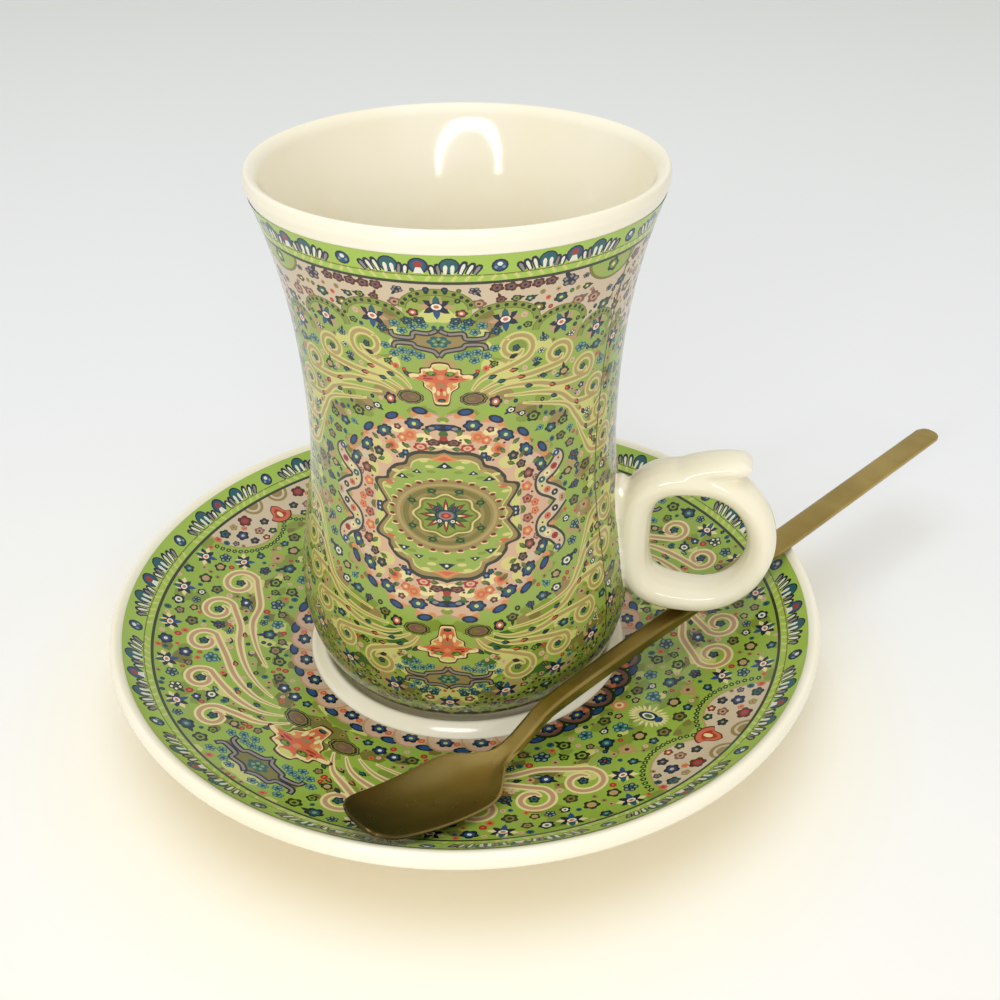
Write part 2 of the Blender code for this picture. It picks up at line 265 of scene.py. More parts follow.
def cup_profile():
    """Inside, lip, outer wall and foot of the cup, from the floor's middle to the base's middle."""
    inner_r = CUP_BELLY_R - CUP_WALL
    bowl = (inner_r - CUP_FLOOR_FLAT_R, CUP_BELLY_H - CUP_FLOOR_H)
    floor = [(0, CUP_FLOOR_H)] + arc((CUP_FLOOR_FLAT_R, CUP_BELLY_H), bowl, -90, 0)
    inside = [(cup_radius(h) - CUP_WALL, h) for h in spaced(CUP_BELLY_H, LIP_H, 2 * WALL_STEPS)]
    crest = CUP_RIM_R - LIP_R + LIP_FLARE * LIP_RISE
    lip = []
    for a in spaced(pi, pi / 2, ARC_STEPS):
        rise = LIP_RISE * sin(a)
        lip.append((CUP_RIM_R - LIP_R + LIP_R * cos(a) + LIP_FLARE * rise, LIP_H + rise))
    lip += arc((crest, LIP_H), (CUP_RIM_R - crest, LIP_RISE), 90, 0)[1:]
    foot_in = CUP_FOOT_R - CUP_FOOT_WIDTH
    bevel = CUP_FOOT_BEVEL
    foot = [(CUP_FOOT_R, bevel), (CUP_FOOT_R - bevel, 0), (foot_in, 0), (foot_in - bevel, CUP_FOOT_H)]
    upper = [(r, CUP_BASE + h) for r, h in floor + inside[1:] + lip[1:-1]]
    lower = [(r, CUP_BASE + h) for r, h in foot + [(0, CUP_FOOT_H)]]
    return upper + cup_side()[::-1] + lower


def saucer_top(r):
    """Height of the dished upper face, from the edge of the seat to the lip."""
    reach = max(0.0, (r - WELL_R) / (SAUCER_EDGE_R - WELL_R))
    upturn = SAUCER_UPTURN * (reach ** SAUCER_UPTURN_POWER - 1)
    return SAUCER_RIM_Z - SAUCER_LIP_STEP + SAUCER_SLOPE * (r - SAUCER_EDGE_R) + upturn


def dish_slope(r):
    """Rise of the dished upper face at a radius, taken over a short step."""
    step = 0.05
    return (saucer_top(r + step) - saucer_top(r - step)) / (2 * step)


def saucer_profile():
    """Seat, bead, dish, lip, underside and foot of the saucer, from the middle of its seat."""
    bead = []
    for side in spaced((SEAT_R - BEAD_R) / (WELL_R - BEAD_R), 1, 2 * ARC_STEPS)[1:]:
        crown = BEAD_HEIGHT * cos(side * pi / 2) ** 2
        bead.append((BEAD_R + (WELL_R - BEAD_R) * side, saucer_top(WELL_R) + crown))
    dish = [(r, saucer_top(r)) for r in spaced(WELL_R, SAUCER_PRINT_TOP, WALL_STEPS)]
    crest = (SAUCER_CREST_R, SAUCER_RIM_Z - SAUCER_CREST_DROP)
    corner = (SAUCER_PRINT_TOP + (crest[1] - dish[-1][1]) / dish_slope(SAUCER_PRINT_TOP), crest[1])
    lip_z = SAUCER_RIM_Z - SAUCER_LIP
    lip = bend(dish[-1], corner, crest)[1:]
    lip_radii = (SAUCER_R - SAUCER_TRIM - crest[0], crest[1] - lip_z)
    lip += arc((crest[0], lip_z), lip_radii, 90, SAUCER_LIP_END)[1:]
    under_radii = spaced(SAUCER_EDGE_R - SAUCER_LIP, SAUCER_FOOT_R, WALL_STEPS)
    under = [(r, saucer_top(r) - SAUCER_WALL) for r in under_radii]
    foot_in = SAUCER_FOOT_R - SAUCER_FOOT_WIDTH
    base = -SAUCER_FOOT_DEPTH
    foot = [(SAUCER_FOOT_R - SAUCER_FOOT_DRAFT, base), (foot_in, base), (foot_in - SAUCER_FOOT_DRAFT, 0)]
    return [(0, SEAT_Z), (SEAT_R, SEAT_Z)] + bead + dish[1:] + lip + under + foot + [(0, 0)]


def turned(name, profile, finish):
    """A closed body of revolution about Z, from a profile that starts and ends on the axis."""
    mesh = bpy.data.meshes.new(name)
    places, faces = [], []
    for r, z in profile[1:-1]:
        for a in turns(0, TURN_STEPS):
            places.append((r * cos(a) * MM, r * sin(a) * MM, z * MM))
    rows = len(profile) - 2
    ends = (len(places), len(places) + 1)
    places += [(0, 0, profile[0][1] * MM), (0, 0, profile[-1][1] * MM)]
    for step in range(TURN_STEPS):
        after = (step + 1) % TURN_STEPS
        last = (rows - 1) * TURN_STEPS
        faces.append((ends[0], step, after))
        faces.append((ends[1], last + after, last + step))
        for row in range(0, last, TURN_STEPS):
            below = row + TURN_STEPS
            faces.append((row + step, below + step, below + after, row + after))
    mesh.from_pydata(places, [], faces)
    work = bmesh.new()
    work.from_mesh(mesh)
    bmesh.ops.recalc_face_normals(work, faces=work.faces)
    work.to_mesh(mesh)
    work.free()
    mesh.shade_smooth()
    mesh.set_sharp_from_angle(angle=SHARP_EDGE)
    mesh.materials.append(finish)
    return shown(name, mesh)


def shown(name, mesh):
    """A mesh as an object of the scene."""
    made = bpy.data.objects.new(name, mesh)
    bpy.context.scene.collection.objects.link(made)
    return made


# Flat shapes of the print

def disc(across, up=None, count=10):
    """Offsets round an ellipse."""
    up = across if up is None else up
    return [(across * cos(a), up * sin(a)) for a in turns(0, count)]


def rosette(size, petals=5, depth=0.2, turn=0.0, squash=1.0, steps=3):
    """Offsets round a flower with rounded petals, some steps to a petal."""
    count = steps * petals
    made = []
    for i in range(count):
        a = 2 * pi * (i + 0.5) / count
        reach = size * (1 - depth + depth * cos(petals * a))
        made.append((reach * cos(a + turn), reach * sin(a + turn) * squash))
    return made


def curve(points, steps=5, closed=False):
    """A smooth line through points."""
    made = []
    count = len(points)
    spans = count if closed else count - 1
    for i in range(spans):
        if closed:
            a, b, c, d = (points[(i + k) % count] for k in (-1, 0, 1, 2))
        else:
            a, b, c, d = (points[min(max(i + k, 0), count - 1)] for k in (-1, 0, 1, 2))
        for step in range(steps):
            t = step / steps
            made.append(tuple(
                b[k] + (c[k] - a[k]) * t / 2
                + (2 * a[k] - 5 * b[k] + 4 * c[k] - d[k]) * t ** 2 / 2
                + (3 * b[k] - a[k] - 3 * c[k] + d[k]) * t ** 3 / 2
                for k in (0, 1)
            ))
    return made if closed else made + [points[-1]]


def mirrored(half):
    """An outline from its right half, given from bottom to top."""
    return half + [(-u, v) for u, v in reversed(half) if u > 0]


def quartered(quarter):
    """An outline from its first quarter, given from the top round to the right-hand side."""
    right = quarter + [(u, -v) for u, v in reversed(quarter) if v > 0]
    return mirrored(right[::-1])


def rotated(points, turn):
    return [(x * cos(turn) - y * sin(turn), x * sin(turn) + y * cos(turn)) for x, y in points]


def signed_area(points):
    return sum(a[0] * b[1] - b[0] * a[1] for a, b in zip(points, points[1:] + points[:1])) / 2


class Sheet:
    """A flat rectangle of ground ink, with the shapes printed on it in their order."""

    def __init__(self, ground, width, low, high, reach=None):
        self.width, self.low, self.high, self.reach = width, low, high, reach
        across = spaced(0, width, ceil(width / FILM_GRID))
        up = spaced(low, high, ceil((high - low) / FILM_GRID))
        edge = [(u, low) for u in across] + [(width, v) for v in up[1:]]
        edge += [(u, high) for u in across[-2::-1]] + [(0, v) for v in up[-2:0:-1]]
        self.shapes = [(ground, edge)]
        self.loose = [(u, v) for u in across[1:-1] for v in up[1:-1]]
        self.claimed = []

    def stretch(self, v):
        """How much wider a shape is drawn where the sheet narrows towards the axis."""
        return self.reach / v if self.reach else 1.0

    def lay(self, ink, points):
        """Adds a shape, its long edges broken up so that they follow the round of the piece."""
        ring = []
        for a, b in zip(points, points[1:] + points[:1]):
            steps = max(1, ceil(abs(b[0] - a[0]) / FILM_GRID))
            ring += [tuple(p + (q - p) * i / steps for p, q in zip(a, b)) for i in range(steps)]
        self.shapes.append((ink, ring))

    def put(self, ink, u, v, offsets):
        """Adds a shape by its offsets from a place."""
        k = self.stretch(v)
        self.lay(ink, [(u + k * du, v + dv) for du, dv in offsets])

    def dot(self, ink, u, v, across, up=None, count=10):
        """Adds an ellipse at a place."""
        self.put(ink, u, v, disc(across, up, count))

    def claim(self, u, v, size):
        """Keeps a round place free of strewn flowers."""
        self.claimed.append((u, v, size))

    def free(self, u, v, size):
        k = self.stretch(v)
        return all(hypot((u - a) / k, v - b) > size + c for a, b, c in self.claimed)

    def cut(self):
        """Points and triangles of the whole sheet, and the uppermost ink of each triangle."""
        spots, rings = [], []
        for _, points in self.shapes:
            ordered = points if signed_area(points) > 0 else points[::-1]
            rings.append(list(range(len(spots), len(spots) + len(points))))
            spots += [Vector(p) for p in ordered]
        spots += [Vector(p) for p in self.loose]
        places, _, faces, _, _, sources = delaunay_2d_cdt(spots, [], rings, 1, FILM_WELD, True)
        reaches = []
        for _, points in self.shapes:
            across, up = zip(*points)
            reaches.append((min(across), max(across), min(up), max(up)))
        inks = []
        for face, ids in zip(faces, sources):
            if 0 not in ids:
                continue
            u, v = sum((places[i] for i in face), Vector((0, 0))) / len(face)
            uppermost = 0
            for i in ids:
                left, right, bottom, top = reaches[i]
                if left <= u <= right and bottom <= v <= top:
                    uppermost = max(uppermost, i)
            inks.append((face, self.shapes[uppermost][0]))
        return [tuple(p) for p in places], inks


def nest(sheet, outline, u, v, layers):
    """Lays one outline several times, each time nearer to its own origin."""
    for share, ink in layers:
        sheet.put(ink, u, v, [(du * share, dv * share) for du, dv in outline])


def stroke(sheet, ink, path, width, thin_start=1.0, thin_end=1.0):
    """A band along a path, one four-cornered shape a step."""
    sides = []
    last = len(path) - 1
    for i, (u, v) in enumerate(path):
        a, b = path[max(i - 1, 0)], path[min(i + 1, last)]
        k = sheet.stretch(v)
        du, dv = (b[0] - a[0]) / k, b[1] - a[1]
        far = hypot(du, dv) or 1.0
        share = min(1.0, thin_start + 3 * i / last, thin_end + 6 * (last - i) / last)
        half = width * share / 2
        sides.append(((u - k * dv / far * half, v + du / far * half),
                      (u + k * dv / far * half, v - du / far * half)))
    for (a, b), (c, d) in zip(sides, sides[1:]):
        for corner in ([a, b, d], [a, d, c]):
            if abs(signed_area(corner)) > 1e-4:
                sheet.lay(ink, corner)


def flower(sheet, u, v, size, look, petals=5, turn=0.0, squash=1.0):
    """A flower with an edge, petals and a heart, each in its own ink."""
    edge, petal, heart = look.split()
    sheet.put(edge, u, v, rosette(size, petals, 0.14, turn, squash))
    sheet.put(petal, u, v, rosette(size * 0.66, petals, 0.22, turn, squash, 2))
    sheet.dot(heart, u, v, size * 0.26, size * 0.26 * squash, 6)
    sheet.claim(u, v, size)


def pansy(sheet, u, v, size, look, turn=0.0, squash=1.0):
    """A dark flower with a pale spot on each of its five petals."""
    edge, spot, heart = look.split()
    sheet.put(edge, u, v, rosette(size, 5, 0.14, turn, squash))
    for a in turns(turn, 5):
        du, dv = 0.56 * size * cos(a), 0.56 * size * sin(a) * squash
        sheet.put(spot, u, v, [(du + x, dv + y) for x, y in disc(0.25 * size, 0.21 * size, 4)])
    sheet.dot(heart, u, v, size * 0.2, size * 0.2 * squash, 5)
    sheet.claim(u, v, size)


def bud(sheet, u, v, size, look):
    """A dot with a darker heart."""
    rim, heart = look.split()
    sheet.dot(rim, u, v, size, count=7)
    sheet.dot(heart, u, v, size * 0.42, count=5)
    sheet.claim(u, v, size)


def star(sheet, u, v, size, lean=0.0, pale="cream"):
    """A flower of pointed petals, pale and navy by turns, with an orange heart."""
    rays = (
        (0, 1.2, pale), (pi, 1.2, pale), (0.55, 1.0, "navy"), (-0.55, 1.0, "navy"),
        (pi - 0.55, 1.0, "navy"), (pi + 0.55, 1.0, "navy"), (1.15, 0.8, pale), (pi - 1.15, 0.8, pale),
        (pi / 2, 0.95, "teal"), (-pi / 2, 1.05, "blue"),
    )
    for turn, reach, ink in rays:
        leaf(sheet, ink, u, v, reach * size, 0.5 * size, turn + lean)
    sheet.dot("navy", u, v, 0.46 * size, 0.36 * size, 9)
    sheet.dot("white", u, v, 0.36 * size, 0.27 * size, 8)
    sheet.dot("coral", u, v, 0.2 * size, 0.15 * size, 6)
    sheet.claim(u, v, size)


# Outlines of a pointed leaf and a blunt petal, of unit length and width
LEAF = ((0, 0), (0.35, -0.5), (0.7, -0.38), (1, 0), (0.7, 0.38), (0.35, 0.5))
PETAL = ((0, -0.34), (0.7, -0.5), (0.94, -0.3), (1, 0), (0.94, 0.3), (0.7, 0.5), (0, 0.34))


def leaf(sheet, ink, u, v, length, width, turn, outline=LEAF):
    """A leaf or petal that starts at a place and points along a turn."""
    along, side = (cos(turn), sin(turn)), (-sin(turn), cos(turn))
    sheet.put(ink, u, v, [
        (along[0] * a * length + side[0] * b * width, along[1] * a * length + side[1] * b * width)
        for a, b in outline
    ])


SPIRAL_STEPS = 30
SPIRAL_ENTRY = -50
SPIRAL_SWEEP = 395
TENDRIL_LEAF_STEP = 5
TENDRIL_LEAVES = ("teal", "coral", "navy", "sky")


def tendril(sheet, lead, curl, size, width, inks):
    """A scroll that runs along its leading points and winds into a curl, with a pale edge."""
    k = sheet.stretch(curl[1])
    edge, body = inks
    spiral = []
    for t in spaced(0, 1, SPIRAL_STEPS):
        a = radians(SPIRAL_ENTRY + SPIRAL_SWEEP * t)
        reach = 1 - 0.62 * t ** 1.25
        spiral.append((curl[0] + k * size * reach * cos(a), curl[1] + size * 0.92 * reach * sin(a)))
    path = curve(lead + spiral[:1], 7)[:-1] + spiral
    stroke(sheet, edge, path, width, 0.3, 0.4)
    stroke(sheet, body, path[1:-1], width * 0.46, 0.2, 0.3)
    for u, v in path[::2]:
        sheet.claim(u, v, width * 0.55)
    beside = path[4:len(path) - len(spiral):TENDRIL_LEAF_STEP]
    for i, (a, b) in enumerate(zip(beside, beside[1:])):
        turn = atan2(b[1] - a[1], (b[0] - a[0]) / k)
        u, v = a[0] - sin(turn) * width * k, a[1] + cos(turn) * width
        leaf(sheet, "dark_green", u, v, width * 1.15, width * 0.62, turn)
        leaf(sheet, TENDRIL_LEAVES[i % len(TENDRIL_LEAVES)], u, v, width * 0.9, width * 0.3, turn)


LEAFY_SHARE = 0.45


def scatter(sheet, draw, looks, tries, sizes, gap, where=lambda u, v: True):
    """Flowers strewn over what is still free of the sheet, some with a leaf."""
    squash = SAUCER_SQUASH if sheet.reach else CUP_SQUASH
    for _ in range(tries):
        u, v = draw.uniform(0, sheet.width), draw.uniform(sheet.low, sheet.high)
        size, turn = draw.uniform(*sizes), draw.uniform(0, 2 * pi)
        kind, look = looks[int(draw.random() * len(looks))].split(maxsplit=1)
        inside = min(u, sheet.width - u) > size * sheet.stretch(v)
        inside = inside and sheet.low + size < v < sheet.high - size
        if not inside or not where(u, v) or not sheet.free(u, v, size + gap):
            continue
        if kind == "bud":
            bud(sheet, u, v, size, look)
            continue
        if draw.random() < LEAFY_SHARE:
            leaf(sheet, look.split()[0], u, v, size * 1.5, size * 0.55, turn + pi / 5)
        if kind == "pansy":
            pansy(sheet, u, v, size, look, turn, squash)
        else:
            flower(sheet, u, v, size, look, 5, turn, squash)


def mottle(sheet, draw, inks, count, sizes, low):
    """Blots that vary the ground."""
    for _ in range(count):
        u, v, size = draw.uniform(0, sheet.width), draw.uniform(low, sheet.high), draw.uniform(*sizes)
        ring = disc(size, count=9)
        blot = [(du * draw.uniform(0.7, 1.3), dv * draw.uniform(0.45, 0.85)) for du, dv in ring]
        sheet.put(inks[int(draw.random() * len(inks))], u, v, blot)


# Motifs of the carpet ornament

# Flowers to strew: the kind, then its inks from the edge inwards
FIELD_FLOWERS = [
    "pansy teal sky navy",
    "pansy navy sky teal",
    "flower dark_green leaf_lime dark_green",
    "flower navy teal sky",
    "flower dark_green tan sand",
    "flower navy white green",
    "pansy dark_green white green",
    "flower slate olive dark_green",
    "flower navy blue white",
    "pansy navy teal red",
    "flower slate khaki mauve",
    "flower sand tan maroon",
]
FIELD_BUDS = [
    "bud navy teal",
    "bud coral red",
    "bud red coral",
    "bud tan maroon",
    "bud dark_green leaf_lime",
    "bud teal navy",
    "bud pink tan",
    "bud khaki maroon",
]
SPANDREL_FLOWERS = [
    "flower navy blue lilac",
    "flower dark_green teal pale_lime",
    "flower maroon mauve navy",
    "flower mauve tan maroon",
    "flower dark_green olive cream",
    "pansy navy lilac navy",
    "flower green leaf_lime dark_green",
]
SPANDREL_BUDS = ["bud green olive", "bud tan maroon", "bud khaki olive", "bud mauve navy"]

PALMETTE_HALF = [
    (0.0, 0.0), (0.95, 0.12), (1.25, 1.0), (1.5, 2.2), (2.5, 3.0), (2.7, 3.9), (4.7, 4.4), (4.4, 5.1),
    (3.0, 5.2), (2.8, 6.0), (1.5, 6.2), (1.1, 6.9), (0.0, 7.1),
]
PALMETTE_MIDDLE = 3.6
PALMETTE_SPOTS = (
    ("cream", 3.7, 4.72, 0.8, 0.28), ("orange", 1.5, 3.4, 0.7, 0.5), ("cream", 1.0, 2.6, 0.28, 0.55),
    ("straw", 1.95, 3.55, 0.4, 0.25), ("khaki", 0.0, 3.3, 0.7, 0.28), ("straw", 0.45, 2.1, 0.25, 0.4),
    ("red", 1.75, 4.35, 0.75, 0.16), ("red", 0.0, 2.6, 0.18, 0.3), ("pale_lime", 0.0, 6.2, 0.95, 0.45),
    ("cream", 1.6, 5.7, 0.7, 0.3), ("green", 1.25, 5.15, 0.75, 0.42),
    ("leaf_lime", 1.25, 5.2, 0.45, 0.26), ("dark_green", 1.0, 5.05, 0.16, 0.12),
    ("maroon", 2.2, 4.75, 0.3, 0.14), ("orange", 0.0, 4.6, 0.5, 0.4),
    ("dark_green", 0.0, 0.95, 0.62, 0.3), ("teal", 0.0, 0.85, 0.38, 0.16),
)


def palmette(sheet, v, scale):
    """A crowned vase of coral leaves on the axis, its foot at v."""
    middle = PALMETTE_MIDDLE
    centre = v + middle * scale
    vase = [(u * scale, (w - middle) * scale) for u, w in mirrored(curve(PALMETTE_HALF, 4))]
    nest(sheet, vase, 0, centre, ((1.0, "maroon"), (0.92, "cream"), (0.84, "orange"), (0.74, "coral")))
    for ink, u, w, across, up in PALMETTE_SPOTS:
        spot = [(u * scale + x * scale, (w - middle) * scale + y * scale) for x, y in disc(across, up, 9)]
        sheet.put(ink, 0, centre, spot)
    for step in range(8):
        sheet.claim(0, v + step * scale, (1.4 if step < 3 else 3.0 if step < 6 else 2) * scale)
    sheet.claim(3.6 * scale, centre + 1.1 * scale, 1.1 * scale)


CARTOUCHE_LOWER = [
    (0, -2.4), (0.5, -1.7), (1.0, -1.4), (2.7, -1.05), (3.2, -0.85), (3.4, -0.5), (4.2, -0.42),
    (5.4, -0.5), (6.0, -0.8), (6.15, -1.5),
]
CARTOUCHE_UPPER = [
    (0, 1.9), (0.9, 1.4), (1.6, 1.25), (2.9, 1.35), (3.3, 1.15), (3.45, 0.55), (4.2, 0.42),
    (5.6, 0.45), (6.15, 0.75), (6.3, 1.5),
]
CARTOUCHE_FLOWERS = (
    (5.0, -1.7), (3.7, -1.9), (6.2, -2.3), (2.6, -2.3), (4.6, -2.9), (4.7, 1.5), (3.3, 2.3),
    (5.6, 2.5), (1.9, 2.5), (7.3, -1.2),
)


def cartouche(sheet, v, scale, lines, ground):
    """A tablet on the axis with hooked arms, drawn in a double line, with a teal flower."""
    k = scale * sheet.stretch(v)
    lower, upper = (
        [(u * k, v + w * scale) for u, w in curve(side, 3)] for side in (CARTOUCHE_LOWER, CARTOUCHE_UPPER)
    )
    sheet.lay(ground, lower[:-2] + upper[-3::-1])
    dark, pale = lines
    for path in (lower, upper):
        stroke(sheet, dark, path, 0.85 * scale)
    for path in (lower, upper):
        stroke(sheet, pale, path[1:-1], 0.34 * scale)
    flower(sheet, 0, v, 1.75 * scale, "teal blue green", 6, 0, 0.6)
    pansy(sheet, 0, v, 1.2 * scale, "green sky dark_green", 0.3, 0.7)
    for u, w in CARTOUCHE_FLOWERS:
        pansy(sheet, u * k, v + w * scale, 0.85 * scale, "teal sky navy", u, 0.75)
    for u in (2.5, 4.2, 5.8):
        sheet.claim(u * k, v, 1.9 * scale)


def oval(sheet, u, v, across, up):
    """A brown fruit with a wavy dark rim."""
    wave = [(x, y * up / across) for x, y in rosette(across, 9, 0.05)]
    rims = ((1.0, "slate"), (0.9, "khaki"), (0.83, "dark_green"), (0.68, "olive"), (0.55, "mauve"))
    nest(sheet, wave, u, v, rims)
    sheet.dot("olive", u - 0.15 * across, v, across * 0.26, up * 0.24, 8)
    sheet.claim(u, v, across * 0.8)


DOT_SPACE = 0.78


def dotted_arch(sheet, path):
    """A green band of dark dots along a path."""
    stroke(sheet, "olive", path, 1.1)
    stroke(sheet, "leaf_lime", path, 0.75)
    gone = 0.0
    for a, b in zip(path, path[1:]):
        gone += hypot((b[0] - a[0]) / sheet.stretch(b[1]), b[1] - a[1])
        if gone > DOT_SPACE:
            gone = 0.0
            sheet.dot("dark_green", b[0], b[1], 0.3, count=6)
    for u, v in path[::2]:
        sheet.claim(u, v, 0.6)


# Half a repeat of the border as drawn, and its fan: place, share of the height, lean and ink of each petal
BORDER_WIDTH = 9.07
BORDER_FAN = (
    (1.55, 0.6, 98, "white"), (2.25, 0.68, 94, "lilac"), (4.6, 0.86, 72, "white"),
    (5.4, 0.78, 66, "white"), (6.2, 0.66, 62, "lilac"),
)
HATCH_STEP = 1.5


def border(width, low, high):
    """Half a repeat of the border: a pomegranate, a fan of petals and a bud on a lime band."""
    sheet = Sheet("fresh_lime", width, low, high)
    rise = high - low
    rules = (("slate", low - 1, low + 0.1 * rise), ("olive", low + 0.3 * rise, low + 0.34 * rise))
    for ink, bottom, top in rules:
        sheet.lay(ink, [(-1, bottom), (width + 1, bottom), (width + 1, top), (-1, top)])
    hatch = (low + 0.13 * rise, low + 0.3 * rise)
    for i in range(int(width / HATCH_STEP)):
        u = 0.7 + HATCH_STEP * i
        stroke(sheet, "pale_lime", [(u, hatch[0]), (u + 0.55, hatch[1])], 0.4)
    foot = hatch[1] + 0.07 * rise
    tall = 0.95 * (high - 0.25 - foot)
    stretch = width / BORDER_WIDTH
    dome = disc(1.2, tall * 0.52, 14)
    nest(sheet, dome, 0, foot + tall * 0.5, ((1.0, "navy"), (0.82, "blue"), (0.6, "teal")))
    sheet.dot("red", 0, foot + tall * 0.6, 0.46, 0.5, 8)
    sheet.put("white", 0, foot + tall * 0.14, [(-0.62, -0.3), (0.62, -0.3), (0.3, 0.62), (-0.3, 0.62)])
    for place, reach, lean, ink in BORDER_FAN:
        u, turn = place * stretch, radians(lean)
        leaf(sheet, "navy", u, foot - 0.05, tall * reach * 1.05, 0.92, turn, PETAL)
        leaf(sheet, ink, u + 0.04, foot, tall * reach * 0.8, 0.42, turn, PETAL)
    nest(sheet, dome, 3.45 * stretch, foot + tall * 0.5, ((1.0, "navy"), (0.84, "teal")))
    for place in (2.95, 3.75):
        leaf(sheet, "white", place * stretch, foot, tall * 0.58, 0.5, radians(86), PETAL)
    nest(sheet, disc(0.98, tall * 0.42, 12), width, foot + tall * 0.46, ((1.0, "navy"), (0.74, "blue")))
    sheet.dot("white", width, foot + tall * 0.56, 0.34, 0.34, 6)
    sheet.dot("sky", width - 0.45, foot + tall * 0.36, 0.2, 0.24, 6)
    return sheet


SCALLOPS = 20
RING_LIGHTS = (
    (9.6, 8.4, 1.5, 1.1, "straw"), (6.4, 10.6, 1.3, 0.8, "cream"), (3.0, 12.6, 1.4, 0.8, "cream"),
    (11.6, 6.2, 1.0, 1.4, "straw"), (10.9, 1.6, 0.7, 1.3, "pale_lime"), (7.0, 13.6, 1.2, 0.6, "cream"),
    (10.6, 10.6, 0.9, 0.8, "straw"), (13.0, 8.0, 0.8, 0.7, "blush"), (0.9, 11.6, 0.9, 0.5, "cream"),
)
RING_BLOOMS = ((4.3, 14.8, 0.0), (9.2, 12.9, -0.5), (12.5, 9.9, -0.8), (15.0, 6.9, -1.1), (15.4, 3.1, -1.4))
RING_SEEDS = ((3.3, 17.0, 0.1), (7.7, 15.6, -0.4), (11.9, 12.9, -0.7), (15.2, 9.7, -0.9), (16.9, 5.2, -1.2))


def medallion_ring(sheet):
    """The peach ring of the medallion, with its navy flowers and coral sprays."""
    edge = []
    for a in turns(0, SCALLOPS * 6):
        bulge = 1 + 0.06 * abs(sin(SCALLOPS * a / 2)) ** 0.7
        edge.append((16.4 * bulge * cos(a), 15.9 * bulge * sin(a)))
    nest(sheet, edge, 0, 0, ((1.015, "tan"), (0.995, "pink")))
    for u, v, across, up, ink in RING_LIGHTS:
        sheet.dot(ink, u, v, across, up, 10)
    for u, v, turn in RING_BLOOMS:
        bloom = rotated(rosette(1.6, 6, 0.12, 0, 0.66), turn)
        nest(sheet, bloom, u, v, ((1.0, "navy"), (0.7, "blue"), (0.52, "teal")))
        sheet.dot("maroon", u - 0.3, v - 0.55, 0.5, 0.2, 6)
        sheet.dot("pale_lime", u, v, 0.34, 0.3, 7)
        sheet.claim(u, v, 1.4)
    for u, v, turn in RING_SEEDS:
        spray = ((0.9 * cos(turn), 0.9 * sin(turn) - 0.6), (-1.1 * cos(turn), -1.1 * sin(turn) - 0.5))
        for du, dv in spray:
            sheet.dot("orange", u + du, v + dv, 0.62, 0.42, 7)
        nest(sheet, rotated(disc(1.25, 0.62, 10), turn), u, v, ((1.0, "navy"), (0.6, "blue")))
        sheet.claim(u, v, 1.3)


SPRAY_FLOWERS = (
    (5.0, 12.9, 1.25, "orange coral orange", 0.9), (6.3, 12.3, 0.9, "coral orange cream", 0.9),
    (8.1, 10.7, 1.25, "orange coral red", 1.0), (3.5, 11.1, 1.3, "red pink coral", 0.6),
    (1.5, 12.0, 1.3, "maroon mauve slate", 0.5), (6.9, 14.0, 0.7, "maroon mauve pink", 0.8),
    (10.4, 9.3, 1.0, "dark_green slate lilac", 0.9), (11.7, 7.7, 0.9, "dark_green mauve slate", 0.9),
    (12.9, 5.9, 1.1, "maroon mauve coral", 0.9), (12.7, 3.7, 1.0, "coral orange straw", 0.9),
    (12.8, 1.6, 1.0, "mauve coral maroon", 0.9), (5.9, 9.9, 0.7, "navy blue sky", 0.9),
    (6.6, 9.3, 0.6, "navy teal navy", 0.9), (14.2, 4.9, 0.7, "mauve tan maroon", 0.9),
    (14.1, 0.7, 0.8, "coral orange red", 0.9), (10.8, 0.3, 0.8, "navy blue white", 0.9),
)
SPRAY_LEAVES = (
    (2.0, 13.1, 0.9), (5.0, 10.9, 0.2), (9.4, 8.4, -0.4), (9.2, 9.9, 2.3), (7.0, 9.7, 0.1),
    (11.2, 2.2, 1.2), (11.2, 5.4, 0.8), (13.5, 7.4, 0.4), (4.2, 11.9, 2.6), (10.2, 11.2, 0.6),
    (7.2, 12.0, 0.4), (11.4, 8.6, 1.0), (2.6, 10.9, 3.0), (11.6, 0.7, -0.8),
)
SPRAY_SEEDS = (
    (3.0, 14.0), (2.5, 12.5), (6.2, 11.4), (8.0, 12.3), (9.0, 11.6), (7.3, 9.0), (13.6, 2.6), (12.0, 4.7),
)


def medallion_sprays(sheet):
    """The flowers and leaves between the peach ring and the lobed field."""
    wing = mirrored([(0.0, 13.75), (1.0, 14.05), (2.5, 13.6), (2.7, 14.5), (1.6, 14.95), (0.0, 15.05)])
    sheet.lay("navy", wing)
    for u, v, ink in ((1.7, 14.3, "lilac"), (0.8, 14.55, "blue"), (2.1, 13.9, "teal")):
        sheet.dot(ink, u, v, 0.5, 0.26, 7)
    sheet.dot("leaf_lime", 0, 15.7, 0.95, 0.5, 9)
    sheet.dot("pale_lime", 0, 15.3, 0.5, 0.24, 7)
    sheet.dot("green", 0, 13.4, 0.75, 0.55, 8)
    sheet.dot("dark_green", 0, 12.2, 0.8, 0.5, 8)
    sheet.dot("red", 0, 12.7, 0.62, 0.45, 8)
    for u, v, size, look, squash in SPRAY_FLOWERS:
        flower(sheet, u, v, size, look, 5, u, squash)
    for u, v, turn in SPRAY_LEAVES:
        leaf(sheet, "green", u, v, 1.5, 0.75, turn)
        leaf(sheet, "olive", u, v, 1.0, 0.35, turn)
    for u, v in SPRAY_SEEDS:
        sheet.dot("maroon", u, v, 0.24, 0.18, 6)


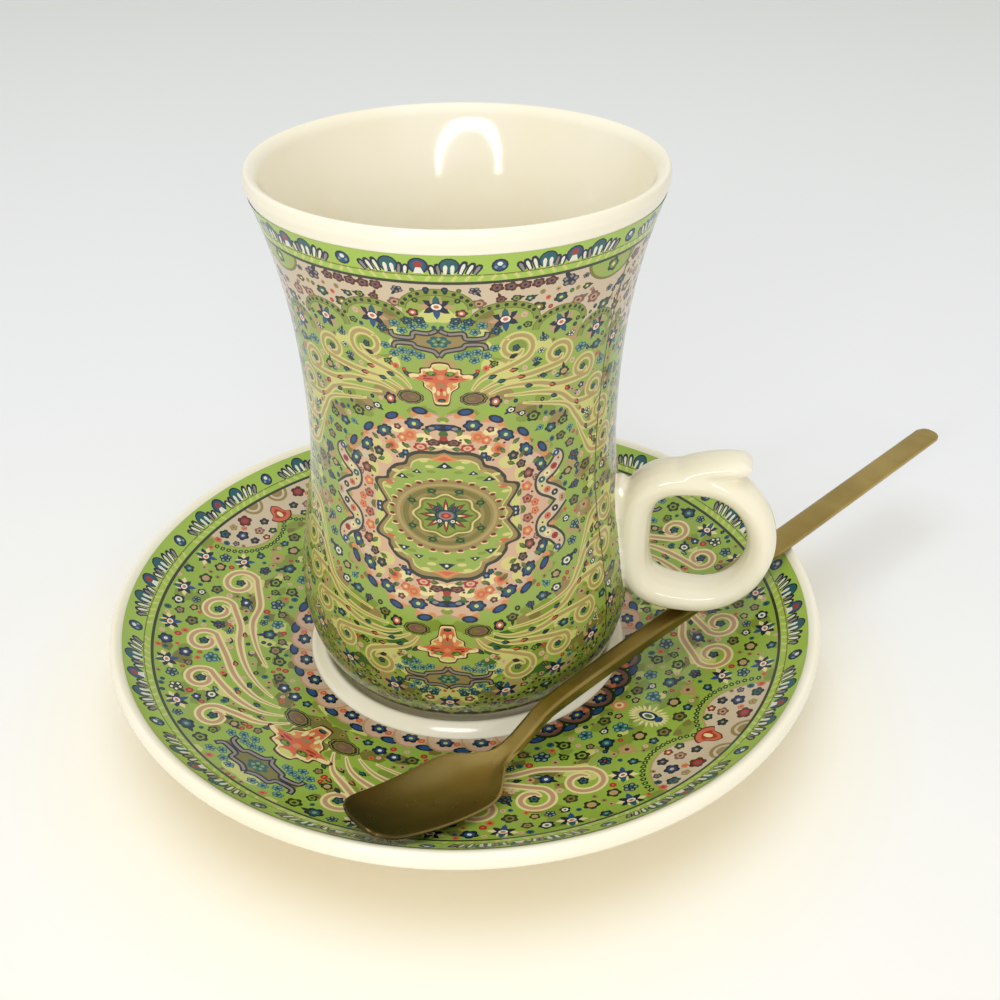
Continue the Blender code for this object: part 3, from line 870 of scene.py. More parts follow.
HEART_QUARTER = [
    (0.0, 11.0), (1.4, 10.6), (3.9, 10.5), (5.6, 9.7), (6.2, 8.4), (7.9, 7.7), (9.3, 6.2), (9.5, 5.3),
    (11.2, 4.8), (11.6, 4.0), (10.8, 2.6), (9.9, 1.3), (10.5, 0.7), (10.9, 0.0),
]
HEART_CROWN = [(0.0, -0.35), (1.1, -0.25), (0.5, 0.2), (0.0, 0.55)]
HEART_DASHES = (
    (2.3, 8.0, "straw"), (3.2, 8.9, "straw"), (5.7, 7.3, "sand"), (8.0, 5.0, "sand"), (9.3, 3.6, "straw"),
    (8.9, 4.4, "coral"), (2.1, 7.2, "leaf_lime"), (5.4, 6.2, "leaf_lime"), (7.7, 6.6, "straw"),
)
HEART_BEADS = 26
HEART_PETALS = 16


def medallion_heart(sheet):
    """The lobed lime field of the medallion, its chain of beads and its rosette."""
    outline = quartered(curve(HEART_QUARTER, 3))
    nest(sheet, outline, 0, 0, ((1.0, "slate"), (0.95, "khaki"), (0.885, "straw"), (0.86, "lime")))
    lotus = mirrored([(0.0, -0.4), (1.0, -0.35), (2.4, 0.0), (1.2, 0.3), (0.5, 0.75), (0.0, 0.85)])
    nest(sheet, lotus, 0, 9.3, ((1.0, "orange"), (0.55, "coral")))
    for u, v, size in ((0, 8.2, 1.2), (4.3, 7.0, 0.75), (6.7, 5.9, 0.95)):
        sheet.put("navy", u, v, [(x * size, y * size) for x, y in mirrored(HEART_CROWN)])
        sheet.dot("white", u, v, 0.25 * size, 0.2 * size, 6)
    for u, v, ink in HEART_DASHES:
        sheet.dot(ink, u, v, 0.75, 0.28, 8)
    nest(sheet, disc(8.85, 5.95, 60), 0, 0, ((1.0, "khaki"), (0.9, "sand"), (0.83, "khaki")))
    for i in range(HEART_BEADS // 4 + 1):
        a = 2 * pi * (i + 0.5) / HEART_BEADS
        u, v = 8.75 * cos(a), 5.9 * sin(a)
        sheet.dot("cream", u, v + 0.1, 0.62, 0.26, 9)
        sheet.dot("coral", u, v, 0.55, 0.2, 8)
        sheet.dot("maroon", u, v - 0.08, 0.42, 0.2, 7)
    nest(sheet, disc(6.9, 4.8, 40), 0, 0, ((1.0, "olive"), (0.86, "khaki"), (0.78, "olive")))
    for u, v, turn in ((2.1, 4.0, 0.1), (5.3, 2.1, 0.7)):
        for lean in (0.5, 2.6, 3.9, 5.6):
            leaf(sheet, "green", u, v, 0.95, 0.5, turn + lean)
        flower(sheet, u, v, 0.75, "dark_green green olive", 4, turn, 0.6)
    lace = []
    for a in turns(0, 64):
        reach = 1 + 0.08 * cos(8 * a)
        lace.append((5.0 * reach * cos(a), 3.4 * reach * sin(a)))
    nest(sheet, lace, 0, 0, ((1.0, "straw"), (0.93, "olive"), (0.84, "leaf_lime")))
    for i, a in enumerate(turns(0, HEART_PETALS)):
        across, up = 4.35 * cos(a), 2.85 * sin(a)
        lean, reach = atan2(up, across), hypot(across, up)
        if i % 2 == 0:
            petal = ((1.0, "dark_green", 0.85), (0.94, "red", 0.55), (0.68, "cream", 0.4))
        else:
            petal = ((0.86, "dark_green", 0.85), (0.8, "green", 0.55))
        for share, ink, wide in petal:
            leaf(sheet, ink, 0, 0, reach * share, wide, lean)
    nest(sheet, disc(1.75, 1.0, 14), 0, 0, ((1.0, "navy"), (0.84, "teal"), (0.66, "lilac"), (0.5, "red")))
    sheet.dot("coral", 0, 0, 0.4, 0.25, 7)


def medallion(sheet):
    """The round medallion in the middle of the cup's sheet, about its lower left corner."""
    medallion_ring(sheet)
    medallion_sprays(sheet)
    medallion_heart(sheet)
    for a in range(0, 91, 6):
        for share in (0.35, 0.7, 0.96):
            sheet.claim(16.5 * share * cos(radians(a)), 16.0 * share * sin(radians(a)), 3.0)


def cloud_band(sheet):
    """The winding band beside the medallion, with its flowers."""
    path = curve([
        (17.2, 8.4), (18.3, 7.2), (17.2, 5.6), (15.4, 4.4), (15.5, 2.8), (17.4, 1.6), (19.4, 0.0),
    ], 6)
    for width, ink in ((2.5, "slate"), (1.65, "blush")):
        stroke(sheet, ink, path, width, 0.4)
    beads = ("blue", "pink", "red", "cream", "teal", "straw", "coral", "navy", "tan")
    for ink, (u, v) in zip(beads, path[3::4]):
        sheet.dot(ink, u, v, 0.66, 0.56, 8)
        heart = "cream" if ink in {"blue", "navy", "teal"} else "maroon"
        sheet.dot(heart, u, v, 0.2, count=5)
    for u, v in path[::2]:
        sheet.claim(u, v, 1.3)


# The row of arches above the field: place, top and half width of each
CUP_ARCHES = (
    (0, 35.9, 4.3), (8.5, 33.6, 4.2), (16.5, 31.6, 3.8), (23.4, 28.7, 3.3), (28.8, 25.2, 2.9),
    (33.6, 22.0, 2.7), (38.6, 20.2, 2.6),
)
CUP_ARCH_STEPS = 12
CUP_ARCH_RISE = 2.7
CUP_ARCH_LEANS = (0, 0.1, 0.5, 0.6, 0.7, 0.6, 0.4)


def spandrel(sheet, draw, ground):
    """The corner above a row of dotted arches, with its own flowers."""
    rise = CUP_ARCH_RISE
    line, arches = [], []
    for u, top, half in CUP_ARCHES:
        hump = arc((u, top - rise), (half, rise), 180, 0, CUP_ARCH_STEPS)
        line += hump
        arches.append(hump)
    right, over = sheet.width + 1, sheet.high + 1
    first_top = line[CUP_ARCH_STEPS // 2][1]
    corner = [(u, v) for u, v in line if u >= 0]
    sheet.lay(ground, corner + [(right, line[-1][1]), (right, over), (-1, over), (-1, first_top)])
    cap = (23.8, sheet.high + 0.2)
    for share, ink in ((1.12, "olive"), (1.0, "bright_lime")):
        sheet.lay(ink, arc(cap, (4.1 * share, 3.1 * share), 180, 360, 16))
    flower(sheet, cap[0], sheet.high - 1.2, 1.2, "dark_green leaf_lime cream")
    for u in (-2.0, 2.1):
        leaf(sheet, "tan", cap[0] + u, sheet.high - 1.0, 1.2, 0.6, u)
    sheet.claim(cap[0], sheet.high, 4.2)
    for u in spaced(7.2, 14.0, 4) + spaced(32.0, 38.0, 4):
        flower(sheet, u, sheet.high - 0.85, 1.0, "maroon mauve navy", 5, u, 0.8)

    def above(u, v):
        for middle, top, half in CUP_ARCHES:
            out = abs(u - middle)
            hump = rise * sqrt(1 - (out / half) ** 2) if out < half else 0
            if out < half + 1 and v < top - rise + hump + 0.8:
                return False
        return True

    scatter(sheet, draw, SPANDREL_FLOWERS, 4000, (1.05, 1.4), 0.0, above)
    scatter(sheet, draw, SPANDREL_FLOWERS, 4000, (0.6, 0.9), 0.0, above)
    scatter(sheet, draw, SPANDREL_BUDS, 3000, (0.3, 0.5), 0.02, above)
    for hump in arches:
        dotted_arch(sheet, hump)
    for (u, top, half), lean in zip(CUP_ARCHES, CUP_ARCH_LEANS):
        star(sheet, u, top - 2.3, 1.9, lean, "tan")


CUP_TENDRILS = (
    ([(4.2, 20.4), (5.8, 22.3), (9.8, 23.9)], (10.2, 26.6), 2.5),
    ([(5.4, 20.2), (8.3, 21.6), (12.9, 22.1)], (16.7, 24.4), 2.1),
    ([(6.6, 19.7), (9.3, 20.6), (13.6, 20.4), (17.6, 19.3)], (21.8, 20.7), 2.1),
    ([(8.8, 19.2), (14.0, 18.8), (17.9, 17.6), (21.2, 15.2)], (25.0, 16.3), 2.1),
    ([(11.6, 17.6), (18.8, 15.7), (21.6, 12.8), (24.0, 10.2)], (27.6, 11.6), 2.2),
    ([(21.6, 12.0), (23.6, 8.4), (26.0, 5.4)], (29.6, 6.2), 2.2),
)


def cup_sheet(corner, high):
    """A quarter of the cup's print: the medallion's centre is the corner at (0, 0)."""
    draw = random.Random(CUP_SEED)
    sheet = Sheet("lime", CUP_REACH * pi / 2, 0, high)
    blots = ("bright_lime", "olive", "khaki", "leaf_lime", "sand", "pale_lime")
    mottle(sheet, draw, blots, 190, (0.8, 2.4), 0)
    # The lower sheet gets extra dark blots towards the foot: partly print, partly painted shade of the
    # belly's underside
    if high > CUP_FIELD_TOP:
        mottle(sheet, draw, ("leaf_lime", "green", "olive", "pale_lime"), 60, (1.0, 2.4), 20)
    spandrel(sheet, draw, corner)
    if high > CUP_FIELD_TOP:
        for u in spaced(1.2, sheet.width - 1.2, 17):
            flower(sheet, u, 37.6, 1.1, "maroon dark_green navy", 5, u, 0.7)
    medallion(sheet)
    cloud_band(sheet)
    for lead, curl, size in CUP_TENDRILS:
        sheet.dot("leaf_lime", curl[0], curl[1], size * 0.6, size * 0.5, 12)
        tendril(sheet, lead, curl, size, 1.25, ("straw", "sand"))
        flower(sheet, curl[0], curl[1], 0.62, "navy teal navy", 5)
    palmette(sheet, 17.9, 1.0)
    cartouche(sheet, 28.1, 1.0, ("slate", "lilac"), "khaki")
    oval(sheet, 4.5, 19.1, 2.1, 1.15)
    for u, v in ((2.3, 31.4), (3.9, 31.2), (7.4, 29.6)):
        pansy(sheet, u, v, 0.9, "navy teal sky", u, 0.8)
    flower(sheet, 3.0, 32.6, 0.9, "maroon coral white", 5, 0, 0.8)
    flower(sheet, 7.6, 18.4, 1.1, "navy coral white")
    side = sheet.width
    rims = ((1.0, "slate"), (0.94, "pink"), (0.62, "slate"), (0.57, "khaki"))
    nest(sheet, disc(6.2, 8.6, 30), side, 0, rims)
    flower(sheet, side, 0, 2.6, "maroon red cream", 10, 0, 1.2)
    for a in (100, 125, 150, 175):
        flower(sheet, side + 4.9 * cos(radians(a)), 6.8 * sin(radians(a)), 1.1, "navy blue pale_lime", 6)
    sheet.claim(side, 0, 6.6)
    sheet.claim(side, 4, 5.4)
    scatter(sheet, draw, FIELD_FLOWERS, 7000, (1.05, 1.4), 0.02)
    scatter(sheet, draw, FIELD_FLOWERS, 7000, (0.66, 0.9), 0.02)
    scatter(sheet, draw, FIELD_BUDS, 7000, (0.34, 0.55), 0.04)
    return sheet


def seam_sheet():
    """The broken dark line where the two ends of the print meet."""
    draw = random.Random(SEAM_SEED)
    sheet = Sheet("olive", SEAM_WIDTH, -CUP_FIELD_TOP, CUP_FIELD_TOP)
    v = 1 - CUP_FIELD_TOP
    while v < CUP_FIELD_TOP - 2:
        length = draw.uniform(0.5, 1.6)
        stroke(sheet, "dark_green", [(SEAM_WIDTH / 2, v), (SEAM_WIDTH / 2, v + length)], 0.7 * SEAM_WIDTH)
        v += length + draw.uniform(0.2, 1.0)
    return sheet


SAUCER_TENDRILS = (
    ([(7.6, 37.8), (11.2, 41.4), (15.8, 43.6)], (17.4, 47.4), 2.6),
    ([(10.9, 37.6), (15.0, 40.4), (21.0, 42.4), (26.4, 43.6)], (29.6, 46.6), 2.6),
    ([(13.9, 37.0), (20.2, 39.5), (29.2, 41.2), (37.0, 42.0)], (42.0, 45.6), 2.8),
    ([(18.4, 37.0), (29.2, 38.7), (41.2, 39.7), (48.6, 40.0)], (53.4, 44.4), 3.0),
    ([(31.0, 35.6), (41.2, 37.0), (50.2, 38.0), (58.0, 37.9)], (64.3, 43.2), 3.3),
)

# Flowers of the saucer's corner, by their distances from its two edges
CORNER_FLOWERS = (
    (5.9, 1.9, 1.6, "maroon red mauve"), (8.7, 4.0, 1.45, "navy blue pink"),
    (3.4, 4.2, 1.1, "navy slate lilac"), (5.7, 5.3, 1.2, "mauve tan maroon"),
    (8.2, 6.4, 1.1, "navy slate lilac"), (3.9, 6.9, 1.0, "dark_green teal pale_lime"),
    (10.6, 1.6, 1.3, "dark_green teal navy"), (6.0, 7.3, 0.9, "maroon coral cream"),
    (8.4, 1.6, 0.9, "khaki sand olive"), (11.0, 4.4, 0.8, "slate lilac slate"),
    (7.2, 3.0, 0.7, "coral orange red"),
)


def saucer_spandrel(sheet):
    """The pale double-lobed corner that hangs from the border, with its flowers."""
    side, top = sheet.width, sheet.high
    lobe_u, lobe_v = side - 6.6, top - 1.2
    lobe = arc((lobe_u, lobe_v), (6.9, 7.2), -180, -12, 22)
    for share, ink in ((1.0, "sand"), (0.95, "blush")):
        rim = [(lobe_u + (u - lobe_u) * share, lobe_v + (v - lobe_v) * share) for u, v in lobe]
        sheet.lay(ink, [(rim[0][0], top + 1)] + rim + [(side + 1, rim[-1][1]), (side + 1, top + 1)])
    nest(sheet, disc(2.3, 2.2, 18), side - 2.7, top, ((1.0, "khaki"), (0.75, "blush"), (0.55, "khaki")))
    half = curve([(0.0, -2.4), (1.6, -1.9), (2.5, -0.6), (1.5, 0.0), (1.0, 1.4), (0.0, 2.2)], 3)
    nest(sheet, mirrored(half), side, top - 4.3, ((1.0, "maroon"), (0.88, "coral"), (0.55, "red")))
    sheet.dot("cream", side, top - 4.6, 0.5, 0.8, 8)
    for u, v, size, look in CORNER_FLOWERS:
        flower(sheet, side - u * 1.05, top - v, size, look, 5, u, 0.85)
    for u, v in ((side, top - 4), (side - 6, top - 3)):
        sheet.claim(u, v, 5.5)
    for u, v in lobe[1:]:
        spot = (lobe_u + (u - lobe_u) * 1.14, lobe_v + (v - lobe_v) * 1.12)
        if spot[0] < side - 0.6 and spot[1] < top - 0.6:
            flower(sheet, spot[0], spot[1], 0.6, "dark_green green pale_lime", 5, 0, 0.8)


SEAT_REPEATS = 8


def seat_ring(sheet):
    """Pink scallops round the seat, each with a dark flower, and blue fruits between them."""
    near_side = SEAT_REPEATS - 2
    k = sheet.stretch(29.0)
    half = sheet.width / SEAT_REPEATS / 2
    for i in range(SEAT_REPEATS + 1):
        u = 2 * half * i
        layers = ((1.0, "tan"), (0.9, "pink"), (0.62, "blush"))
        if i >= near_side:
            layers = ((1.0, "dark_green"), (0.84, "mauve"), (0.62, "tan"))
        nest(sheet, disc(half / k * 1.12, 4.0, 20), u, sheet.low - 0.2, layers)
        flower(sheet, u, sheet.low + 1.3, 1.6, "navy blue green", 6, i, 0.8)
        sheet.dot("pale_lime", u, sheet.low + 1.3, 0.4, 0.3, 6)
        sheet.claim(u, sheet.low + 1.5, 2.7)
        between = u + half
        nest(sheet, disc(1.6, 0.8, 12), between, sheet.low + 3.1, ((1.0, "navy"), (0.65, "blue")))
        for turn in (-1, 1):
            bud(sheet, between + turn * k, sheet.low + 1.5, 0.62, "coral orange")
        sheet.claim(between, sheet.low + 3.0, 1.7)


def sunburst(sheet, u, v):
    """A fish-shaped seed in a ring of pale rays."""
    for a in turns(0, 22):
        foot = u + 1.2 * cos(a) * sheet.stretch(v)
        leaf(sheet, "cream", foot, v + 2.0 * sin(a), 1.6, 0.5, atan2(1.6 * sin(a), cos(a)))
    seed = ((1.0, "pale_lime"), (0.72, "navy"), (0.45, "white"), (0.3, "green"))
    nest(sheet, disc(1.5, 2.4, 18), u, v, seed)
    sheet.dot("blue", u, v + 1.9, 0.75, 0.7, 9)
    sheet.claim(u, v, 3.2)


def saucer_sheet():
    """A quarter of the saucer's print: u runs round from the vase's axis, v is the radius."""
    draw = random.Random(SAUCER_SEED)
    reach = SAUCER_REACH
    sheet = Sheet("bright_lime", reach * pi / 2, WELL_R + 0.1, SAUCER_FIELD_TOP, reach)
    mottle(sheet, draw, ("lime", "olive", "leaf_lime", "leaf_lime", "pale_lime"), 110, (0.9, 2.6), 30)
    saucer_spandrel(sheet)
    seat_ring(sheet)
    for lead, curl, size in SAUCER_TENDRILS:
        start = [(radians(a) * reach, r) for a, r in lead]
        middle = (radians(curl[0]) * reach, curl[1])
        tendril(sheet, start, middle, size, 1.5, ("cream", "tan"))
        flower(sheet, middle[0], middle[1], 1.0, "navy teal navy", 5)
    palmette(sheet, 33.8, 1.45)
    cartouche(sheet, 48.2, 1.28, ("navy", "lilac"), "olive")
    oval(sheet, radians(8.4) * reach, 36.0, 3.0, 1.75)
    for a in (23, 35, 46.3, 57.4, 68):
        star(sheet, radians(a) * reach, 51.5, 2.0, 0.3)
    star(sheet, radians(71.5) * reach, 45.4, 2.0, 0.6)
    side = sheet.width
    sunburst(sheet, side, 38.2)
    flower(sheet, side, 32.6, 1.6, "orange cream coral", 6)
    scatter(sheet, draw, FIELD_FLOWERS, 6000, (1.3, 1.65), 0.06)
    scatter(sheet, draw, FIELD_FLOWERS, 6000, (0.85, 1.1), 0.05)
    scatter(sheet, draw, FIELD_BUDS, 6000, (0.42, 0.75), 0.06)
    return sheet


# Films on the porcelain

class Wall:
    """The cup's outer wall by the length along its profile, from the foot up."""

    def __init__(self):
        self.points = cup_side()
        self.lengths = [0.0]
        for a, b in zip(self.points, self.points[1:]):
            self.lengths.append(self.lengths[-1] + hypot(b[0] - a[0], b[1] - a[1]))
        self.middle = next(s for s, (_, z) in zip(self.lengths, self.points) if z > CUP_BASE + MEDALLION_H)

    def at(self, s):
        """Radius, height and outward direction at a length."""
        i = min(max(bisect(self.lengths, s), 1), len(self.points) - 1)
        a, b = self.points[i - 1], self.points[i]
        span = self.lengths[i] - self.lengths[i - 1]
        t = (s - self.lengths[i - 1]) / span
        out = ((b[1] - a[1]) / span, (a[0] - b[0]) / span)
        return a[0] + (b[0] - a[0]) * t, a[1] + (b[1] - a[1]) * t, out

    def place(self, theta, v, lift=FILM_LIFT):
        """A spot of a film and its normal, at an angle and at a length above the medallion's middle."""
        r, z, out = self.at(self.middle + v)
        r += out[0] * lift
        z += out[1] * lift
        normal = Vector((out[0] * cos(theta), out[0] * sin(theta), out[1]))
        return Vector((r * cos(theta), r * sin(theta), z)) * MM, normal


def dish_place(theta, r, lift=FILM_LIFT):
    """A spot of a film and its normal, at an angle and a radius of the saucer."""
    out = Vector((-dish_slope(r), 0, 1)).normalized()
    normal = Vector((out.x * cos(theta), out.x * sin(theta), out.z))
    return Vector((r * cos(theta), r * sin(theta), saucer_top(r))) * MM + normal * lift * MM, normal


def copies(angles, reach, spot, flip):
    """How a sheet goes to both sides of each angle, and which of the two sides turns its faces over."""
    made = []
    for angle in angles:
        for side in (1, -1):
            def place(u, v, angle=angle, side=side):
                return spot(angle + side * u / reach, v)
            made.append((place, (side < 0) != flip))
    return made


def film(name, sheets, inks):
    """One mesh of printed film from sheets, each with the places that its copies go to."""
    places, normals, faces, slots = [], [], [], []
    names = list(inks)
    for sheet, goals in sheets:
        points, cut = sheet.cut()
        for place, mirror in goals:
            start = len(places)
            for u, v in points:
                spot, normal = place(u, v)
                places.append(spot)
                normals.append(normal)
            for face, ink in cut:
                ring = [start + i for i in face]
                faces.append(ring[::-1] if mirror else ring)
                slots.append(names.index(ink))
    mesh = bpy.data.meshes.new(name)
    mesh.from_pydata(places, [], faces)
    for ink in names:
        mesh.materials.append(inks[ink])
    mesh.polygons.foreach_set("material_index", slots)
    mesh.polygons.foreach_set("use_smooth", [True] * len(faces))
    mesh.normals_split_custom_set_from_vertices(normals)
    return shown(name, mesh)


# Handle and spoon

def evaluated(item):
    """The mesh of an object with its modifiers, and the object itself goes."""
    view = bpy.context.evaluated_depsgraph_get()
    mesh = bpy.data.meshes.new_from_object(item.evaluated_get(view))
    bpy.data.objects.remove(item, do_unlink=True)
    return mesh


def root_patch():
    """A slip of wall under the handle's root, which the handle melts into."""
    work = bmesh.new()
    rows = []
    for h in spaced(PATCH_LOW, PATCH_HIGH, PATCH_ROWS):
        row = []
        for a in spaced(-PATCH_TURN, PATCH_TURN, PATCH_COLUMNS):
            for depth in PATCH_DEPTHS:
                r = cup_radius(h) - depth
                row.append(work.verts.new((r * cos(a) * MM, r * sin(a) * MM, (CUP_BASE + h) * MM)))
        rows.append(row)
    count = len(rows[0])
    for below, above in zip(rows, rows[1:]):
        for i in range(0, count - 2, 2):
            work.faces.new((below[i + 1], below[i + 3], above[i + 3], above[i + 1]))
            work.faces.new((below[i], above[i], above[i + 2], below[i + 2]))
        work.faces.new((below[0], below[1], above[1], above[0]))
        work.faces.new((below[-2], above[-2], above[-1], below[-1]))
    for row in (rows[0], rows[-1]):
        for i in range(0, count - 2, 2):
            work.faces.new((row[i], row[i + 2], row[i + 3], row[i + 1]))
    bmesh.ops.recalc_face_normals(work, faces=work.faces)
    return work


def leaning(spot, lean, sizes):
    """Where a unit shape goes: sized, leaned about Y and moved to a spot."""
    leant = Matrix.Translation(Vector(spot) * MM) @ Matrix.Rotation(lean, 4, "Y")
    return leant @ Matrix.Diagonal((*sizes, 1))


def make_handle(cad, finish):
    """The CAD handle joined to a slip of wall, melted together and smoothed like slip-cast clay."""
    work = root_patch()
    work.from_mesh(cad.data)
    slip = leaning((cup_radius(SLIP_H) + SLIP_OUT, 0, CUP_BASE + SLIP_H), SLIP_LEAN, SLIP_HALF)
    bmesh.ops.create_uvsphere(work, u_segments=32, v_segments=24, radius=MM, matrix=slip)
    bmesh.ops.create_cube(work, size=MM, matrix=leaning(SPUR_END, SPUR_LEAN, SPUR_BLOCK))
    mesh = bpy.data.meshes.new("cup_handle_glaze")
    work.to_mesh(mesh)
    work.free()
    item = shown("handle_work", mesh)
    melt = item.modifiers.new("melt", "REMESH")
    melt.mode = "VOXEL"
    melt.voxel_size = MELT_GRAIN * MM
    soften = item.modifiers.new("soften", "SMOOTH")
    soften.factor = MELT_SOFTNESS
    soften.iterations = MELT_ROUNDS
    done = evaluated(item)
    done.materials.clear()
    done.materials.append(finish)
    done.shade_smooth()
    return shown("cup_handle_glaze", done)


def make_spoon(cad, finish):
    """The CAD spoon with its faces subdivided, its rims kept crisp."""
    work = bmesh.new()
    work.from_mesh(cad.data)
    bmesh.ops.remove_doubles(work, verts=work.verts, dist=SPOON_MERGE * MM)
    bmesh.ops.join_triangles(
        work, faces=work.faces, angle_face_threshold=SPOON_FLAT, angle_shape_threshold=SPOON_SKEW)
    rims = [edge for edge in work.edges if edge.calc_face_angle(0) > SPOON_CREASE]
    bmesh.ops.bevel(work, geom=rims, offset=SPOON_BEVEL * MM, segments=1, affect="EDGES")
    crease = work.edges.layers.float.new("crease_edge")
    for edge in work.edges:
        if edge.calc_face_angle(0) > SPOON_CREASE / 2:
            edge[crease] = 1.0
    mesh = bpy.data.meshes.new("spoon_work")
    work.to_mesh(mesh)
    work.free()
    item = shown("spoon_work", mesh)
    finer = item.modifiers.new("finer", "SUBSURF")
    finer.levels = SPOON_FINENESS
    done = evaluated(item)
    done.shade_smooth()
    done.set_sharp_from_angle(angle=SPOON_CREASE / 2)
    done.materials.clear()
    done.materials.append(finish)
    return shown("spoon_brass", done)


# Materials

INK_GLOSS = (0.1, 0.2)
GLAZE_GLOSS = (0.06, 0.13)
GLAZE_TINTS = ((0.35, (248, 241, 219)), (0.65, (251, 246, 231)))
BRASS_GLOSS = (0.26, 0.34)
BRASS_TINTS = ((0.3, (152, 128, 64)), (0.7, (190, 164, 96)))
BRASS_BRUSH = (40, 900, 900)
NOISE_SPAN = (0.3, 0.7)
GLOSS_GRAIN = 90.0
RIPPLE_GRAIN = 260.0
RIPPLE_DEPTH = 0.1
TINT_GRAIN = 40.0
TARNISH_GRAIN = 70.0
BRUSH_DEPTH = 0.04


def feed(tree, entry, value):
    """Sets an input of a node, or links it where the value is the output of another node."""
    if isinstance(value, bpy.types.NodeSocket):
        tree.links.new(value, entry)
    else:
        entry.default_value = value


def node(tree, kind, **values):
    """A shader node, its inputs fed by their names."""
    made = tree.nodes.new(kind)
    for name, value in values.items():
        feed(tree, made.inputs[name.replace("_", " ")], value)
    return made


def reckon(tree, kind, operation, first, second):
    """A shader node that works out one value from two."""
    made = tree.nodes.new(kind)
    made.operation = operation
    feed(tree, made.inputs[0], first)
    feed(tree, made.inputs[1], second)
    return made


def object_spots(tree):
    return node(tree, "ShaderNodeTexCoord").outputs["Object"]


def noise(tree, spots, scale, detail):
    return node(tree, "ShaderNodeTexNoise", Vector=spots, Scale=scale, Detail=detail).outputs["Fac"]


def new_material(name, base, roughness, metallic=0.0):
    """A material with its node tree and its shader."""
    made = bpy.data.materials.new(name)
    made.use_nodes = True
    shader = made.node_tree.nodes["Principled BSDF"]
    shader.inputs["Base Color"].default_value = base
    shader.inputs["Roughness"].default_value = roughness
    shader.inputs["Metallic"].default_value = metallic
    return made, made.node_tree, shader


def ramp(tree, value, stops):
    """A colour by a value, from stops of place and display colour."""
    made = node(tree, "ShaderNodeValToRGB", Fac=value)
    elements = made.color_ramp.elements
    while len(elements) < len(stops):
        elements.new(1.0)
    for element, (place, tone) in zip(elements, stops):
        element.position = place
        element.color = colour(tone)
    return made.outputs["Color"]


def product(tree, a, b):
    return reckon(tree, "ShaderNodeVectorMath", "MULTIPLY", a, b).outputs["Vector"]


def uneven(tree, shader, gloss, limits, relief, strength, depth):
    """Roughness that follows one noise between two limits, and a bump that follows another."""
    span = node(tree, "ShaderNodeMapRange", Value=gloss, From_Min=NOISE_SPAN[0], From_Max=NOISE_SPAN[1],
                To_Min=limits[0], To_Max=limits[1])
    feed(tree, shader.inputs["Roughness"], span.outputs["Result"])
    bump = node(tree, "ShaderNodeBump", Height=relief, Strength=strength, Distance=depth * MM)
    feed(tree, shader.inputs["Normal"], bump.outputs["Normal"])


def glossy_skin(tree, shader, limits, ripple):
    """Gloss that varies a little over the surface, and the slow ripple of fired glaze."""
    spots = object_spots(tree)
    gloss, swell = noise(tree, spots, GLOSS_GRAIN, 3.0), noise(tree, spots, RIPPLE_GRAIN, 1.0)
    uneven(tree, shader, gloss, limits, swell, ripple, RIPPLE_DEPTH)


def ink_material(name, display):
    made, tree, shader = new_material("ink_" + name, colour(display), 0.16)
    glossy_skin(tree, shader, INK_GLOSS, 0.04)
    return made


def glaze_material():
    """Ivory glaze, its warmth varying a little from place to place."""
    made, tree, shader = new_material("ivory_glaze", colour((246, 238, 214)), 0.1)
    glossy_skin(tree, shader, GLAZE_GLOSS, 0.05)
    tint = ramp(tree, noise(tree, object_spots(tree), TINT_GRAIN, 2.0), GLAZE_TINTS)
    feed(tree, shader.inputs["Base Color"], tint)
    return made


def brass_material():
    """Antique brass, brushed along the spoon, tarnished in cloudy patches, and darkened by painted shade at
    the bowl's tip and on the lower stem in place of dark reflections.
    """
    made, tree, shader = new_material("antique_brass", colour((140, 114, 66)), 0.34, 1.0)
    spots = object_spots(tree)
    tint = ramp(tree, noise(tree, spots, TARNISH_GRAIN, 4.0), BRASS_TINTS)
    turn = node(tree, "ShaderNodeMapping", Vector=spots, Rotation=(0, 0, -SPOON_HEADING))
    along = turn.outputs["Vector"]
    length = node(tree, "ShaderNodeSeparateXYZ", Vector=along).outputs["X"]
    # Painted shade: the brass darkens towards the bowl's tip and on the lower stem, in place of dark
    # reflections
    reach = node(
        tree, "ShaderNodeMapRange", Value=length, From_Min=SPOON_TIP * MM, From_Max=SPOON_SHADE_END * MM)
    painted_shade = ramp(tree, reach.outputs["Result"], [(place, (grey, grey, grey)) for place, grey in SPOON_PAINTED_SHADE])
    feed(tree, shader.inputs["Base Color"], product(tree, tint, painted_shade))
    brush = node(tree, "ShaderNodeMapping", Vector=along, Scale=BRASS_BRUSH)
    lines = noise(tree, brush.outputs["Vector"], 1.0, 2.0)
    uneven(tree, shader, lines, BRASS_GLOSS, lines, 0.04, BRUSH_DEPTH)
    return made


# Stage: the camera's spot in millimetres, the floor and the lamps in metres

CAMERA_SPOT = (40.19, -161.19, 137.92)
CAMERA_HEADING = radians(102.0)
CAMERA_PITCH = radians(32.67)
CAMERA_ROLL = radians(-0.15)
CAMERA_LENS = 42.87
CAMERA_CLIP = (0.005, 20)
SENSOR = 36.0
FLOOR_HALF = 3.0
FLOOR_MIDDLE = (0.0, -0.2, 0.0)
FLOOR_REACH = 2.0
# Painted light falloff on the table: darker and bluer away from the camera, by share of the reach from its
# middle
FLOOR_PAINTED_FALLOFF = (
    (0.05, (253, 251, 247)), (0.15, (244, 247, 255)), (0.45, (241, 247, 255)), (1.0, (228, 238, 254)),
)
